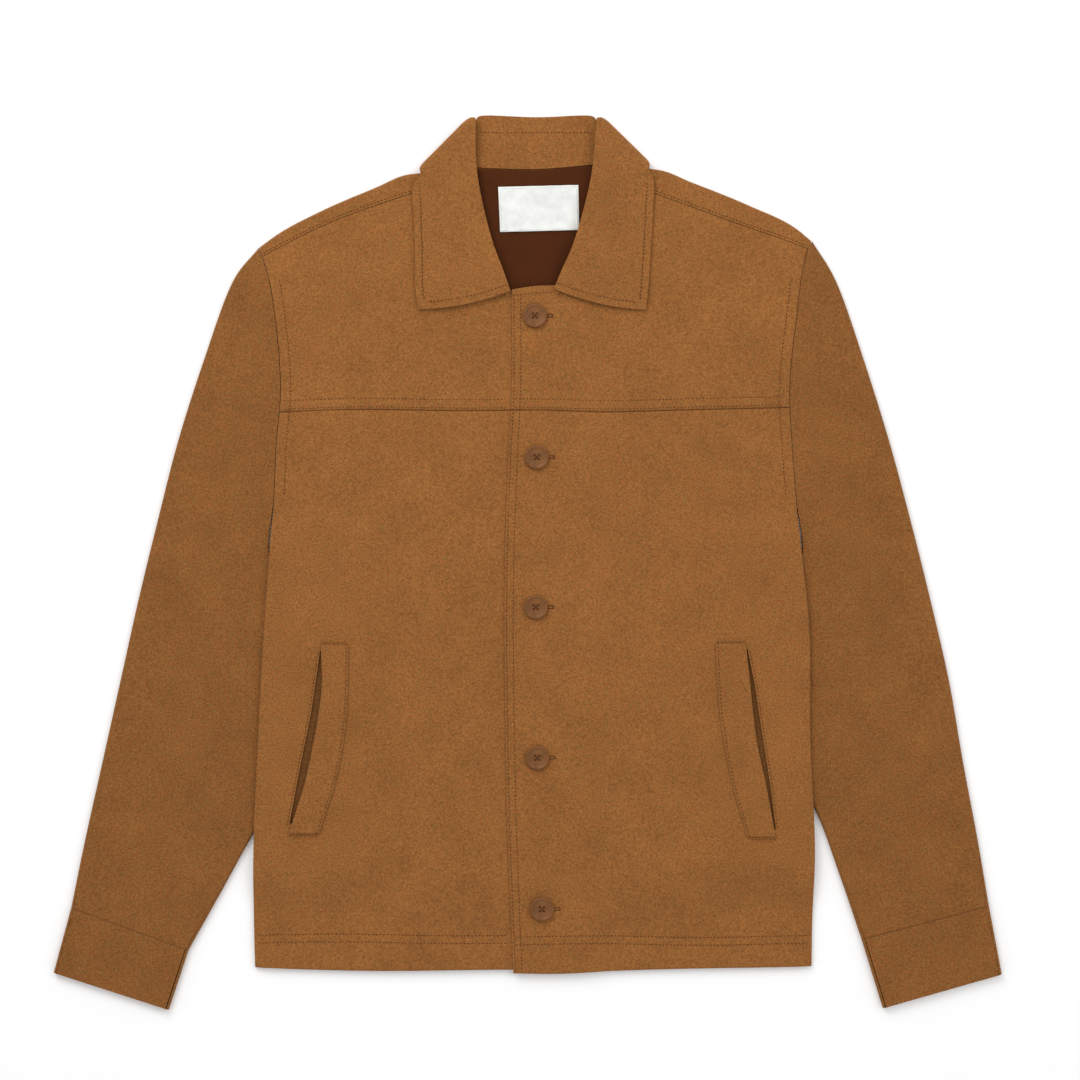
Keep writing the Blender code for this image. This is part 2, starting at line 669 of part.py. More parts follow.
def turned(name, profile, sides, finish):
    """Solid turned from a profile of radius and height, closed by a flat face at each end."""
    points = [p for radius, z in profile for p in ring_of(radius, z, sides)]
    faces = grid_faces(len(profile), sides, ring=True)
    last = (len(profile) - 1) * sides
    faces.append(tuple(reversed(range(sides))))
    faces.append(tuple(range(last, last + sides)))
    return solid(name, points, faces, finish)


def make_buttons():
    """Five four-hole buttons, each with the thread shank that passes through its buttonhole."""
    shank = LAP_STEP
    profile = [
        (SHANK_RADIUS, -shank),
        (SHANK_RADIUS, 0.0),
        (BUTTON_RADIUS - 1.2, 0.0),
        (BUTTON_RADIUS, 1.2),
        (BUTTON_RADIUS, BUTTON_HEIGHT - 0.6),
        (BUTTON_RADIUS - 0.6, BUTTON_HEIGHT),
        (BUTTON_RADIUS - BUTTON_RIM, BUTTON_HEIGHT),
        (BUTTON_RADIUS - BUTTON_RIM - 1.0, BUTTON_HEIGHT - BUTTON_DISH),
    ]
    for number, (x, y) in enumerate(BUTTONS, 1):
        button = turned(f"button_{number}", profile, 24, BUTTON)
        place = (x * MM, y * MM, (BODY_TOP + LAP_STEP + SEAM) * MM)
        button.location = place
        for hole, (sx, sy) in enumerate(((1, 1), (-1, 1), (-1, -1), (1, -1)), 1):
            ends = [(THREAD_HOLE_RADIUS, -1.0), (THREAD_HOLE_RADIUS, BUTTON_HEIGHT + 1.0)]
            drill = turned(f"button_{number}_hole_{hole}", ends, 10, BUTTON)
            offset = THREAD_HOLE_OFFSET * MM
            drill.location = (place[0] + sx * offset, place[1] + sy * offset, place[2])
            cut(button, drill)


def build():
    """Make the whole jacket."""
    for thing in list(bpy.data.objects):
        bpy.data.objects.remove(thing, do_unlink=True)
    neck_columns = make_back()
    right_lower, _ = make_right_front()
    left_lower, left_upper = make_left_front()
    make_sleeve("sleeve_right", RIGHT_SLEEVE, -1)
    make_sleeve("sleeve_left", LEFT_SLEEVE, 1)
    make_cuff("cuff_right", RIGHT_CUFF)
    make_cuff("cuff_left", LEFT_CUFF)
    make_collar()
    make_neck_inside(neck_columns)
    make_pocket("right", RIGHT_POCKET, right_lower)
    make_pocket("left", LEFT_POCKET, left_lower)
    make_buttonhole(1, left_upper)
    for number in range(2, len(BUTTONS) + 1):
        make_buttonhole(number, left_lower)
    make_buttons()


build()
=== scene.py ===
"""Looks of the suede jacket: each piece again as a fine cloth mesh, with creases, stitches and finish."""

import math

import bmesh
import bpy
import numpy as np
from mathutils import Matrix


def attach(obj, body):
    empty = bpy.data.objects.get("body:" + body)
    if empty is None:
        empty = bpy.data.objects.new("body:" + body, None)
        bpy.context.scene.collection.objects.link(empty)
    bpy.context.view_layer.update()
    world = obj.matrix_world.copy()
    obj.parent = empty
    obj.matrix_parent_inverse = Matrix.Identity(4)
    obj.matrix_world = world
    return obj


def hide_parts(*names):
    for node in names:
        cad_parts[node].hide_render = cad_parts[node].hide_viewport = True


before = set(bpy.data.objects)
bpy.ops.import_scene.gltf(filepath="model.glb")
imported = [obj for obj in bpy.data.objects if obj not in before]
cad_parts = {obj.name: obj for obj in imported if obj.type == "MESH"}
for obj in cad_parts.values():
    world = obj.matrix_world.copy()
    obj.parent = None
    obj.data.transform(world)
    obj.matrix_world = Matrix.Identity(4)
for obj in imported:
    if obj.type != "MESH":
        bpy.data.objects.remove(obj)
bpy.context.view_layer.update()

MM = 0.001

# Walls, and the small gaps that keep neighbouring pieces apart
WALL = 1.6              # suede
COLLAR_WALL = 2.0       # two suede plies and interfacing
CUFF_WALL = 2.0
WELT_WALL = 2.0
THIN_WALL = 1.0         # lining, pocket facing, label
SEAM = 0.3
COLLAR_PLY_GAP = 0.5
PLY_ROOM = 2.0          # room between the back wall and the front wall

BODY_TOP = 2 * WALL + PLY_ROOM
FOLD_RADIUS = BODY_TOP / 2
LAP_STEP = WALL + SEAM                              # left front over right front
OVER_SLEEVE = BODY_TOP + 0.6                        # body lifted by the sleeve under its side
OVER_COLLAR = COLLAR_WALL + SEAM                    # back lifted by the collar leaf under it
STAND_BOTTOM = COLLAR_WALL + COLLAR_PLY_GAP
STAND_TOP = OVER_COLLAR + BODY_TOP + SEAM + WALL
ROLL_CENTRE = (STAND_BOTTOM + STAND_TOP) / 2        # height of the collar's two side folds
SIDE_DROP = PLY_ROOM - 0.5                          # front side edges come down onto the back

# Where the left front climbs onto the right front's underlap (x)
UNDERLAP_EDGE = 32.0
LAP_FLAT_TO = 46.0
LAP_DOWN_AT = 82.0

# Side of the body and armhole, read upward from the hem: y, x on the wearer's right, x on the left
SIDE_COLUMNS = ("y", "right_x", "left_x")
SIDE = np.array([
    (-366, -245.0, 255.0),
    (-330, -246.0, 255.5),
    (-259, -246.0, 257.5),
    (-162, -242.0, 253.5),
    (-52, -236.0, 252.0),
    (11, -231.5, 245.5),
    (57, -228.0, 241.0),
    (110, -225.5, 237.0),
    (150, -222.0, 235.0),
    (183, -223.0, 237.0),
    (217, -226.5, 241.0),
    (257, -233.0, 246.0),
    (283, -241.0, 251.6),
])

# Free edge of the left front: y, x
FRONT_EDGE = np.array([
    (-369.5, -13.0),
    (-310, -15.5),
    (-230, -18.5),
    (-150, -20.0),
    (-40, -21.0),
    (40, -19.5),
    (100, -17.0),
    (150, -14.5),
    (246, -14.5),
])

# Yoke seam: x, y
YOKE = np.array([
    (-230, 134.5),
    (-160, 137.0),
    (-52, 136.0),
    (10, 136.5),
    (65, 135.0),
    (150, 137.0),
    (240, 139.0),
])

# Hems: x, y
RIGHT_HEM = np.array([(-245, -364), (-130, -367), (-15, -366), (UNDERLAP_EDGE, -366)])
LEFT_HEM = np.array([(-13, -369), (21, -369.5), (74, -367), (255, -363)])
BACK_HEM = np.array([(-245, -363.5), (5, -364.5), (255, -362.5)])

# Shoulders from the armhole to the neck: fold x, y (the outline) and forward seam x, y
RIGHT_SHOULDER = np.array([
    (-241, 283, -238, 274.5),
    (-226, 294, -216, 286.5),
    (-187, 315, -180, 304),
    (-136, 337, -129, 323),
    (-109, 348, -104, 331),
    (-95, 349.5, -90, 335.5),
    (-80, 350, -76, 339),
])
LEFT_SHOULDER = np.array([
    (255, 288.5, 251.5, 281.5),
    (242.5, 299, 232, 289),
    (198, 321, 190, 303.5),
    (146, 342, 138, 322.5),
    (120, 352, 113, 331),
    (108, 353.5, 100, 335.5),
    (90, 354, 84, 340),
])
NECK_SEAM = np.array([(-80, 350), (-46, 352.5), (8.5, 352), (58, 356), (90, 354)])

# Collar, one row per section from the front end to the side fold:
# roll x, y; leaf edge x, y; neckline x, y; bow of the section; how far the leaf's edge settles
COLLAR_COLUMNS = ("roll_x", "roll_y", "edge_x", "edge_y", "neck_x", "neck_y", "bow", "settle")
RIGHT_COLLAR = np.array([
    (-15.5, 243.5, -98.0, 227.0, -21.5, 242.5, -4.0, 1.6),
    (-22.0, 262.0, -100.5, 245.0, -38.0, 258.0, -1.5, 1.6),
    (-31.0, 286.0, -101.0, 275.0, -55.0, 281.0, 0.0, 1.6),
    (-40.0, 320.0, -102.0, 312.0, -70.0, 314.0, 0.0, 1.6),
    (-46.0, 356.0, -103.0, 335.0, -77.0, 336.5, 0.0, 1.0),
    (-46.8, 397.8, -95.3, 348.8, -86.4, 358.2, 0.0, 0.0),
])
LEFT_COLLAR = np.array([
    (23.5, 245.0, 106.0, 226.7, 29.5, 244.0, -4.0, 1.6),
    (30.5, 262.0, 108.0, 245.0, 46.0, 258.0, -1.5, 1.6),
    (41.0, 286.0, 110.0, 275.0, 65.0, 281.0, 0.0, 1.6),
    (51.0, 320.0, 112.0, 312.0, 80.0, 314.0, 0.0, 1.6),
    (58.0, 354.0, 113.0, 341.0, 85.0, 337.5, 0.0, 1.0),
    (61.8, 397.7, 107.8, 352.7, 101.9, 358.6, 0.0, 0.0),
])
# Back of the collar between the side folds: roll x, y; leaf edge x, y; neckline x, y
BACK_COLLAR = np.array([
    (-38.0, 401.4, -62.0, 334.0, -58.0, 355.4),
    (8.5, 399.8, 8.5, 328.0, 8.5, 353.4),
    (53.0, 401.4, 75.0, 337.0, 72.0, 358.6),
])

# Sleeves, one row per section from armhole to cuff seam: outer edge x, y; inner edge x, y
SLEEVE_COLUMNS = ("outer_x", "outer_y", "inner_x", "inner_y")
RIGHT_SLEEVE = np.array([
    (-241.5, 283.0, -229.8, 46.0),
    (-266.0, 250.5, -232.8, 10.0),
    (-291.0, 182.0, -226.0, -38.0),
    (-314.0, 110.0, -214.0, -82.0),
    (-332.5, 38.0, -206.0, -124.0),
    (-350.0, -34.0, -208.0, -166.0),
    (-366.0, -106.0, -222.0, -206.0),
    (-382.0, -178.0, -246.0, -243.0),
    (-398.0, -250.0, -276.0, -297.0),
    (-410.4, -310.6, -305.0, -349.0),
])
LEFT_SLEEVE = np.array([
    (255.8, 288.3, 243.2, 45.0),
    (278.0, 250.5, 247.0, 10.0),
    (302.0, 182.0, 241.0, -38.0),
    (324.5, 110.0, 229.0, -82.0),
    (344.0, 38.0, 221.0, -122.0),
    (362.0, -34.0, 223.0, -160.0),
    (378.5, -106.0, 236.0, -192.0),
    (391.0, -178.0, 259.0, -224.0),
    (404.5, -250.0, 282.0, -286.0),
    (414.5, -309.0, 300.0, -339.0),
])
# Cuffs: outer and inner corner of the seam, then of the lower edge
RIGHT_CUFF = np.array([(-410.4, -310.6, -305.0, -349.0), (-426.0, -368.5, -322.5, -402.0)])
LEFT_CUFF = np.array([(414.5, -309.0, 300.0, -339.0), (426.0, -370.0, 319.0, -400.5)])

# Pocket mouths, read down from the top: y, lip x, welt free edge x, welt sewn edge x
POCKET_COLUMNS = ("y", "lip_x", "free_x", "sewn_x")
RIGHT_POCKET = np.array([
    (-80, -186.2, -185.2, -160.4),
    (-107, -190.0, -184.2, -160.8),
    (-135, -194.2, -187.2, -162.0),
    (-162, -199.6, -192.0, -165.0),
    (-197, -206.6, -199.5, -172.2),
    (-237, -214.0, -212.0, -184.6),
])
LEFT_POCKET = np.array([
    (-79, 197.0, 196.0, 168.5),
    (-107, 203.0, 199.0, 169.8),
    (-135, 207.2, 202.0, 172.0),
    (-162, 211.5, 205.5, 176.0),
    (-197, 217.0, 213.0, 182.8),
    (-240, 222.4, 221.0, 195.0),
])
WELT_END = 6.0          # the welt runs this far past the mouth at each end
FACING_MARGIN = 12.0    # hidden width of the facing around the mouth

# Neck label: its four corners
LABEL = np.array([(-24.8, 296.4), (46.4, 298.2), (45.5, 338.7), (-26.6, 336.9)])

# Buttons and buttonholes: centre x, y
BUTTONS = [(6.4, 221.2), (8.1, 94.3), (7.2, -40.2), (8.6, -175.2), (12.7, -310.9)]
BUTTON_RADIUS = 10.8
BUTTON_HEIGHT = 3.4
BUTTON_RIM = 2.0
BUTTON_DISH = 0.9
THREAD_HOLE_RADIUS = 0.9
THREAD_HOLE_OFFSET = 1.9
SHANK_RADIUS = 1.1
BUTTONHOLE_WIDTH = 3.2
BUTTONHOLE_BACK = 3.0   # from the button's centre toward the front edge
BUTTONHOLE_AHEAD = 15.0

# Plain colours: linear RGB, roughness
SUEDE = ("suede", (0.300, 0.120, 0.030), 0.95)
LINING = ("lining", (0.070, 0.018, 0.004), 0.55)
LABEL_CLOTH = ("label", (0.900, 0.900, 0.870), 0.80)
BUTTON = ("button", (0.240, 0.100, 0.030), 0.45)


# Creases and swells: centre x, y, direction in degrees, half length, half width, height
CREASE_COLUMNS = ("x", "y", "angle", "length", "width", "height")
CREASES = [
    (-150, 40, 80, 90, 12, 0.8),
    (-95, -120, 84, 120, 16, 0.7),
    (-200, -30, 96, 80, 9, -0.7),
    (-60, 200, 70, 40, 10, 0.5),
    (-190, 200, 60, 50, 8, -0.6),
    (-130, -300, 12, 80, 10, 0.5),
    (90, 60, 100, 110, 15, 0.7),
    (170, -20, 95, 100, 12, -0.8),
    (205, 190, 120, 55, 8, -0.6),
    (130, -200, 88, 110, 14, 0.7),
    (60, -290, -8, 70, 9, 0.5),
    (205, 60, 100, 60, 9, 0.6),
]
SLEEVE_CREASES = [
    (-290, 150, 66, 80, 7, 1.0),
    (-262, 90, 74, 90, 6, -0.9),
    (-330, 0, 78, 110, 9, 0.9),
    (-300, -60, 80, 90, 7, -0.9),
    (-355, -150, 76, 90, 8, 0.9),
    (-320, -210, 64, 70, 7, -0.8),
    (-372, -250, 80, 60, 8, 0.8),
    (300, 150, 114, 80, 7, 1.0),
    (270, 80, 104, 90, 6, -0.9),
    (340, 10, 103, 110, 9, 0.9),
    (318, -70, 101, 90, 7, -0.9),
    (362, -160, 104, 90, 8, 0.9),
    (330, -220, 116, 70, 7, -0.8),
    (380, -255, 100, 60, 8, 0.8),
]

EDGE_ROUND = 1.5
THREAD_RADIUS = 0.36
STITCH_PITCH = 3.3
STITCH_LENGTH = 2.3
CAMERA_X, CAMERA_Y, VIEW_WIDTH = 11.0, 20.0, 972.0
LENS, SENSOR = 85.0, 36.0

SHOWN = {}
SLITS = {}

def ease(t):
    """Smooth step: 0 below 0, 1 above 1."""
    t = np.clip(t, 0.0, 1.0)
    return t * t * (3.0 - 2.0 * t)


def hermite(at, rows, want):
    """Values at want on a smooth curve through rows, which stand at the places in at."""
    slope = np.gradient(rows, at, axis=0)
    k = np.clip(np.searchsorted(at, want, side="right") - 1, 0, len(at) - 2)
    span = (at[k + 1] - at[k])[:, None]
    t = (want[:, None] - at[k][:, None]) / span
    start = (1 + 2 * t) * (1 - t) ** 2 * rows[k] + t * (1 - t) ** 2 * span * slope[k]
    end = t * t * (3 - 2 * t) * rows[k + 1] + t * t * (t - 1) * span * slope[k + 1]
    return start + end


def along(points, count):
    """count points evenly spaced along a smooth curve through the given points."""
    rows = np.asarray(points, float)
    step = np.linalg.norm(np.diff(rows[:, :2], axis=0), axis=1)
    at = np.concatenate([[0.0], np.cumsum(step)])
    return hermite(at, rows, np.linspace(0.0, at[-1], count))


def sections(table, count):
    """count rows evenly spaced through a table's rows."""
    at = np.arange(len(table), dtype=float)
    return hermite(at, table, np.linspace(0.0, at[-1], count))


def at_value(table, value, column=1):
    """A table's column, read smoothly at values of its first column."""
    value = np.atleast_1d(np.asarray(value, float))
    return hermite(table[:, 0], table[:, [column]], value)[:, 0]


def side_x(y, side):
    """X of the body's side at height y: side -1 is the wearer's right, +1 the left."""
    return at_value(SIDE, y, 1 if side < 0 else 2)


def back_height(x, y):
    """Height of the back's outer face: it rests on the table, the sleeves and the collar leaf."""
    sides = np.maximum(ease((-108.0 - x) / 50.0), ease((x - 115.0) / 50.0))
    over_sleeve = OVER_SLEEVE * sides * ease((50.0 - y) / 35.0) * ease((y + 318.0) / 50.0)
    over_collar = OVER_COLLAR * ease((y - 222.0) / 70.0)
    over_collar = over_collar * ease((x + 140.0) / 36.0) * ease((148.0 - x) / 36.0)
    return over_sleeve + over_collar


def relief(x, y):
    """Soft unevenness of the upper cloth, from a few long creases and slow swells."""
    height = np.zeros(np.shape(x))
    for cx, cy, angle, length, width, depth in CREASES:
        turn = math.radians(angle)
        u = (x - cx) * math.cos(turn) + (y - cy) * math.sin(turn)
        v = (y - cy) * math.cos(turn) - (x - cx) * math.sin(turn)
        height = height + depth * np.exp(-(u / length) ** 2 - (v / width) ** 2)
    swell = np.sin(x / 41.0 + 1.3 * np.sin(y / 67.0)) * np.sin(y / 53.0 + 0.8 * np.sin(x / 59.0))
    return height + 0.28 * swell + 0.3


def seam_profile(x, y, lap):
    """Folded seam allowance that stands up above the yoke seam, with a groove on the seam."""
    from_seam = y - at_value(YOKE, np.ravel(x)).reshape(np.shape(x))
    ridge = 0.75 * ease(from_seam / 1.5) * (1 - ease((from_seam - 9.0) / 5.0))
    groove = -0.35 * np.exp(-((from_seam - 10.0) / 1.2) ** 2) - 0.3 * np.exp(-((from_seam - 2.5) / 1.0) ** 2)
    return ridge + groove * (from_seam > 0)


def front_height(x, y, lap=True):
    """Height of the fronts' outer face, with the left front's step onto the right one."""
    height = back_height(x, y) + BODY_TOP + relief(x, y)
    edge = np.where(x < 0, x - side_x(y, -1), side_x(y, 1) - x)
    height = height - SIDE_DROP * (1 - ease(edge / 10.0)) * ease((30.0 - y) / 30.0)
    if lap:
        height = height + LAP_STEP * (1 - ease((x - LAP_FLAT_TO) / (LAP_DOWN_AT - LAP_FLAT_TO)))
    return height + seam_profile(x, y, lap) * (y < 290)


def patch(bottom, top, left, right, spread=None):
    """Grid of plan points between four edges that share their corners."""
    f = np.linspace(0, 1, len(left))[:, None, None]
    g = (np.linspace(0, 1, len(bottom)) if spread is None else spread)[None, :, None]
    ruled = (1 - g) * left[:, None, :] + g * right[:, None, :]
    ruled = ruled + (1 - f) * bottom[None, :, :] + f * top[None, :, :]
    corners = (1 - f) * ((1 - g) * left[0] + g * right[0]) + f * ((1 - g) * left[-1] + g * right[-1])
    return ruled - corners


def wall(name, outer, inner, faces, finish):
    """Close two matching skins into a solid with a rim round their free edges."""
    count = len(outer)
    edges = {(a, b) for face in faces for a, b in zip(face, face[1:] + face[:1])}
    rim = sorted((a, b) for a, b in edges if (b, a) not in edges)
    closed = list(faces)
    closed += [tuple(count + i for i in reversed(face)) for face in faces]
    closed += [(b, a, count + a, count + b) for a, b in rim]
    return solid(name, np.vstack([outer, inner]), closed, finish)


def grid_faces(rows, columns, ring=False, start=0):
    """Quads of a grid of points numbered row by row; a ring closes each row on itself."""
    faces = []
    for row in range(rows - 1):
        for column in range(columns if ring else columns - 1):
            a = start + row * columns + column
            b = start + row * columns + (column + 1) % columns
            faces.append((a, b, b + columns, a + columns))
    return faces


def grid_wall(name, outer, inner, finish, ring=False):
    """Solid between two grids of points."""
    rows, columns = outer.shape[:2]
    faces = grid_faces(rows, columns, ring)
    return wall(name, outer.reshape(-1, 3), inner.reshape(-1, 3), faces, finish)


def shoulder_columns(table, count):
    """Plan of a shoulder: fold points, inward directions and forward seam points."""
    rows = along(table, count)
    fold, seam = rows[:, :2], rows[:, 2:]
    inward = seam - fold
    inward = inward / np.linalg.norm(inward, axis=1)[:, None]
    return fold, inward, seam


def make_back():
    """Back panel: lies on its outer face and folds over each shoulder to the forward seam."""
    rows, arc_steps, strip_steps = 60, 8, 6
    counts = {"right": 30, "neck": 26, "left": 30}
    fold_r, inward_r, seam_r = shoulder_columns(RIGHT_SHOULDER, counts["right"])
    fold_l, inward_l, seam_l = shoulder_columns(LEFT_SHOULDER[::-1], counts["left"])
    turn_r = fold_r + FOLD_RADIUS * inward_r
    turn_l = fold_l + FOLD_RADIUS * inward_l
    neck = along(NECK_SEAM, counts["neck"] + 2)[1:-1]
    top = np.vstack([turn_r, neck, turn_l])
    reach = np.concatenate([[0.0], np.cumsum(np.linalg.norm(np.diff(top, axis=0), axis=1))])
    spread = reach / reach[-1]
    bottom_x = -245.0 + 500.0 * spread
    bottom = np.column_stack([bottom_x, at_value(BACK_HEM, bottom_x)])
    left_y = np.linspace(bottom[0, 1], top[0, 1], rows)
    right_y = np.linspace(bottom[-1, 1], top[-1, 1], rows)
    left = np.column_stack([side_x(left_y, -1), left_y])
    right = np.column_stack([side_x(right_y, 1), right_y])
    left[-1], right[-1], bottom[0], bottom[-1] = top[0], top[-1], left[0], right[0]
    plan = patch(bottom, top, left, right, spread)
    columns = len(top)
    neck_columns = plan[-17:, counts["right"] - 1:columns - counts["left"] + 1]
    height = back_height(plan[..., 0].ravel(), plan[..., 1].ravel())
    flat = np.column_stack([plan.reshape(-1, 2), height])
    outer = [flat]
    inner = [flat + (0, 0, WALL)]
    faces = grid_faces(rows, columns)
    placed = rows * columns
    shoulders = (
        (fold_r, inward_r, seam_r, 0),
        (fold_l, inward_l, seam_l, columns - counts["left"]),
    )
    for fold, inward, seam, first in shoulders:
        width = len(fold)
        centre = fold + FOLD_RADIUS * inward
        floor = back_height(centre[:, 0], centre[:, 1])
        previous = [(rows - 1) * columns + first + i for i in range(width)]
        for step in range(1, arc_steps + strip_steps + 1):
            if step <= arc_steps:
                turn = math.pi * step / arc_steps
                ways = ((FOLD_RADIUS, outer), (FOLD_RADIUS - WALL, inner))
                for radius, skin in ways:
                    plan_row = centre - radius * math.sin(turn) * inward
                    rise = floor + FOLD_RADIUS - radius * math.cos(turn)
                    skin.append(np.column_stack([plan_row, rise]))
            else:
                share = (step - arc_steps) / strip_steps
                plan_row = centre + share * (seam - SEAM * inward - centre)
                rise = back_height(plan_row[:, 0], plan_row[:, 1]) + BODY_TOP
                outer.append(np.column_stack([plan_row, rise]))
                inner.append(np.column_stack([plan_row, rise - WALL]))
            for i in range(width - 1):
                faces.append((previous[i], previous[i + 1], placed + i + 1, placed + i))
            previous = [placed + i for i in range(width)]
            placed += width
    wall("back", np.vstack(outer), np.vstack(inner), faces, SUEDE)
    return neck_columns


def make_right_front():
    """Right front: lower part and yoke, with the underlap that carries the buttons."""
    def base(x, y):
        return front_height(x, y, lap=False) - WALL

    columns, rows = 96, 150
    bottom = along(RIGHT_HEM, columns)
    top_x = np.linspace(side_x(135, -1)[0], UNDERLAP_EDGE, columns)
    seam = np.column_stack([top_x, at_value(YOKE, top_x)])
    left_y = np.linspace(bottom[0, 1], seam[0, 1] - SEAM / 2, rows)
    left = np.column_stack([side_x(left_y, -1), left_y])
    right = along([bottom[-1], seam[-1] - (0, SEAM / 2)], rows)
    plan = patch(bottom, seam - (0, SEAM / 2), left, right)
    lower = lay("front_right_lower", plan, base, WALL, SUEDE)

    edge = along([seam[-1] + (0, SEAM / 2), (UNDERLAP_EDGE, 243)], 34)
    over = along([(UNDERLAP_EDGE, 243), RIGHT_COLLAR[0, 4:6]], 16)
    neckline = along(RIGHT_COLLAR[:-1, 4:6], 36)
    right = np.vstack([edge[:-1], over[:-1], neckline])
    top = along(RIGHT_SHOULDER[:, 2:], columns) - (0, SEAM / 2)
    top[-1] = right[-1]
    left_y = np.linspace(seam[0, 1] + SEAM / 2, top[0, 1], len(right))
    left = np.column_stack([side_x(left_y, -1), left_y])
    top[0] = left[-1]
    plan = patch(seam + (0, SEAM / 2), top, left, right)
    return lower, lay("front_right_upper", plan, base, WALL, SUEDE)


def make_left_front():
    """Left front: lower part and yoke, lying over the right front's underlap."""
    def base(x, y):
        return front_height(x, y) - WALL

    columns, rows = 100, 150
    bottom = along(LEFT_HEM, columns)
    front_x = at_value(FRONT_EDGE, 137)[0]
    top_x = np.linspace(front_x, side_x(138, 1)[0], columns)
    seam = np.column_stack([top_x, at_value(YOKE, top_x)])
    left_y = np.linspace(bottom[0, 1], seam[0, 1] - SEAM / 2, rows)
    left = np.column_stack([at_value(FRONT_EDGE, left_y), left_y])
    right_y = np.linspace(bottom[-1, 1], seam[-1, 1] - SEAM / 2, rows)
    right = np.column_stack([side_x(right_y, 1), right_y])
    seam[0, 0] = left[-1, 0]
    bottom[0] = left[0]
    bottom[-1] = right[0]
    plan = patch(bottom, seam - (0, SEAM / 2), left, right)
    lower = lay("front_left_lower", plan, base, WALL, SUEDE)

    edge_y = np.linspace(seam[0, 1] + SEAM / 2, 244.5, 34)
    edge = np.column_stack([at_value(FRONT_EDGE, edge_y), edge_y])
    over = along([edge[-1], (4, 247), LEFT_COLLAR[0, 4:6] + (-4, 3.5)], 14)
    neckline = along(np.vstack([over[-1:], LEFT_COLLAR[1:-1, 4:6]]), 36)
    left = np.vstack([edge[:-1], over[:-1], neckline])
    top = along(LEFT_SHOULDER[::-1, 2:], columns) - (0, SEAM / 2)
    top[0] = left[-1]
    right_y = np.linspace(seam[-1, 1] + SEAM / 2, top[-1, 1], len(left))
    right = np.column_stack([side_x(right_y, 1), right_y])
    top[-1] = right[-1]
    plan = patch(seam + (0, SEAM / 2), top, left, right)
    return lower, lay("front_left_upper", plan, base, WALL, SUEDE)


def flat_ring(plan, radius, thickness, flat_steps_at):
    """Outer and inner ring round a flattened tube: plan is a row of points from edge to edge."""
    start = plan[1] - plan[0]
    start = start / np.linalg.norm(start)
    end = plan[-2] - plan[-1]
    end = end / np.linalg.norm(end)
    first, last = plan[0] + radius * start, plan[-1] + radius * end
    middle = plan[1:-1]
    rings = []
    for reach in (radius, radius - thickness):
        ring = []
        for turn in flat_steps_at:
            ring.append((*(first - reach * math.sin(turn) * start), radius - reach * math.cos(turn)))
        ring += [(*point, radius + reach) for point in middle]
        for turn in reversed(flat_steps_at):
            ring.append((*(last - reach * math.sin(turn) * end), radius - reach * math.cos(turn)))
        ring += [(*point, radius - reach) for point in middle[::-1]]
        rings.append(ring)
    return rings


def tube(name, rows, thickness, radius=FOLD_RADIUS):
    """Flattened tube lying on the table, through rows of plan points from edge to edge."""
    turns = [math.pi * k / 8 for k in range(9)]
    outer, inner = [], []
    for plan in rows:
        ring_out, ring_in = flat_ring(plan, radius, thickness, turns)
        outer.append(ring_out)
        inner.append(ring_in)
    return grid_wall(name, np.array(outer), np.array(inner), SUEDE, ring=True)


def make_sleeve(name, table, side):
    """Sleeve from the armhole seam to the cuff seam, its underarm lying under the body."""
    count, across = 170, 52
    share = np.linspace(0, 1, across)[:, None]
    ends = sections(table, count)
    seam_y = np.linspace(table[0, 1], table[0, 3], across)
    armhole = np.column_stack([side_x(seam_y, side) + side * 0.42, seam_y])
    armhole[0], armhole[-1] = table[0, :2], table[0, 2:]
    chord = (1 - share) * table[0, :2] + share * table[0, 2:]
    bow = armhole - chord
    rows = []
    for index, (ox, oy, ix, iy) in enumerate(ends):
        line = (1 - share) * (ox, oy) + share * (ix, iy)
        rows.append(line + bow * (1 - ease(index * 14.0 / 169.0 / 4.0)))
    direction = (rows[-2][0] - rows[-1][0]) / np.linalg.norm(rows[-2][0] - rows[-1][0])
    rows[-1] = rows[-1] + SEAM * direction
    return tube(name, rows, WALL)


def make_cuff(name, table):
    """Cuff band from the sleeve's seam to its lower edge."""
    across = 48
    share = np.linspace(0, 1, across)[:, None]
    rows = []
    for part in np.linspace(0, 1, 26):
        ox, oy, ix, iy = (1 - part) * table[0] + part * table[1]
        rows.append((1 - share) * (ox, oy) + share * (ix, iy))
    return tube(name, rows, CUFF_WALL, FOLD_RADIUS + 0.45)


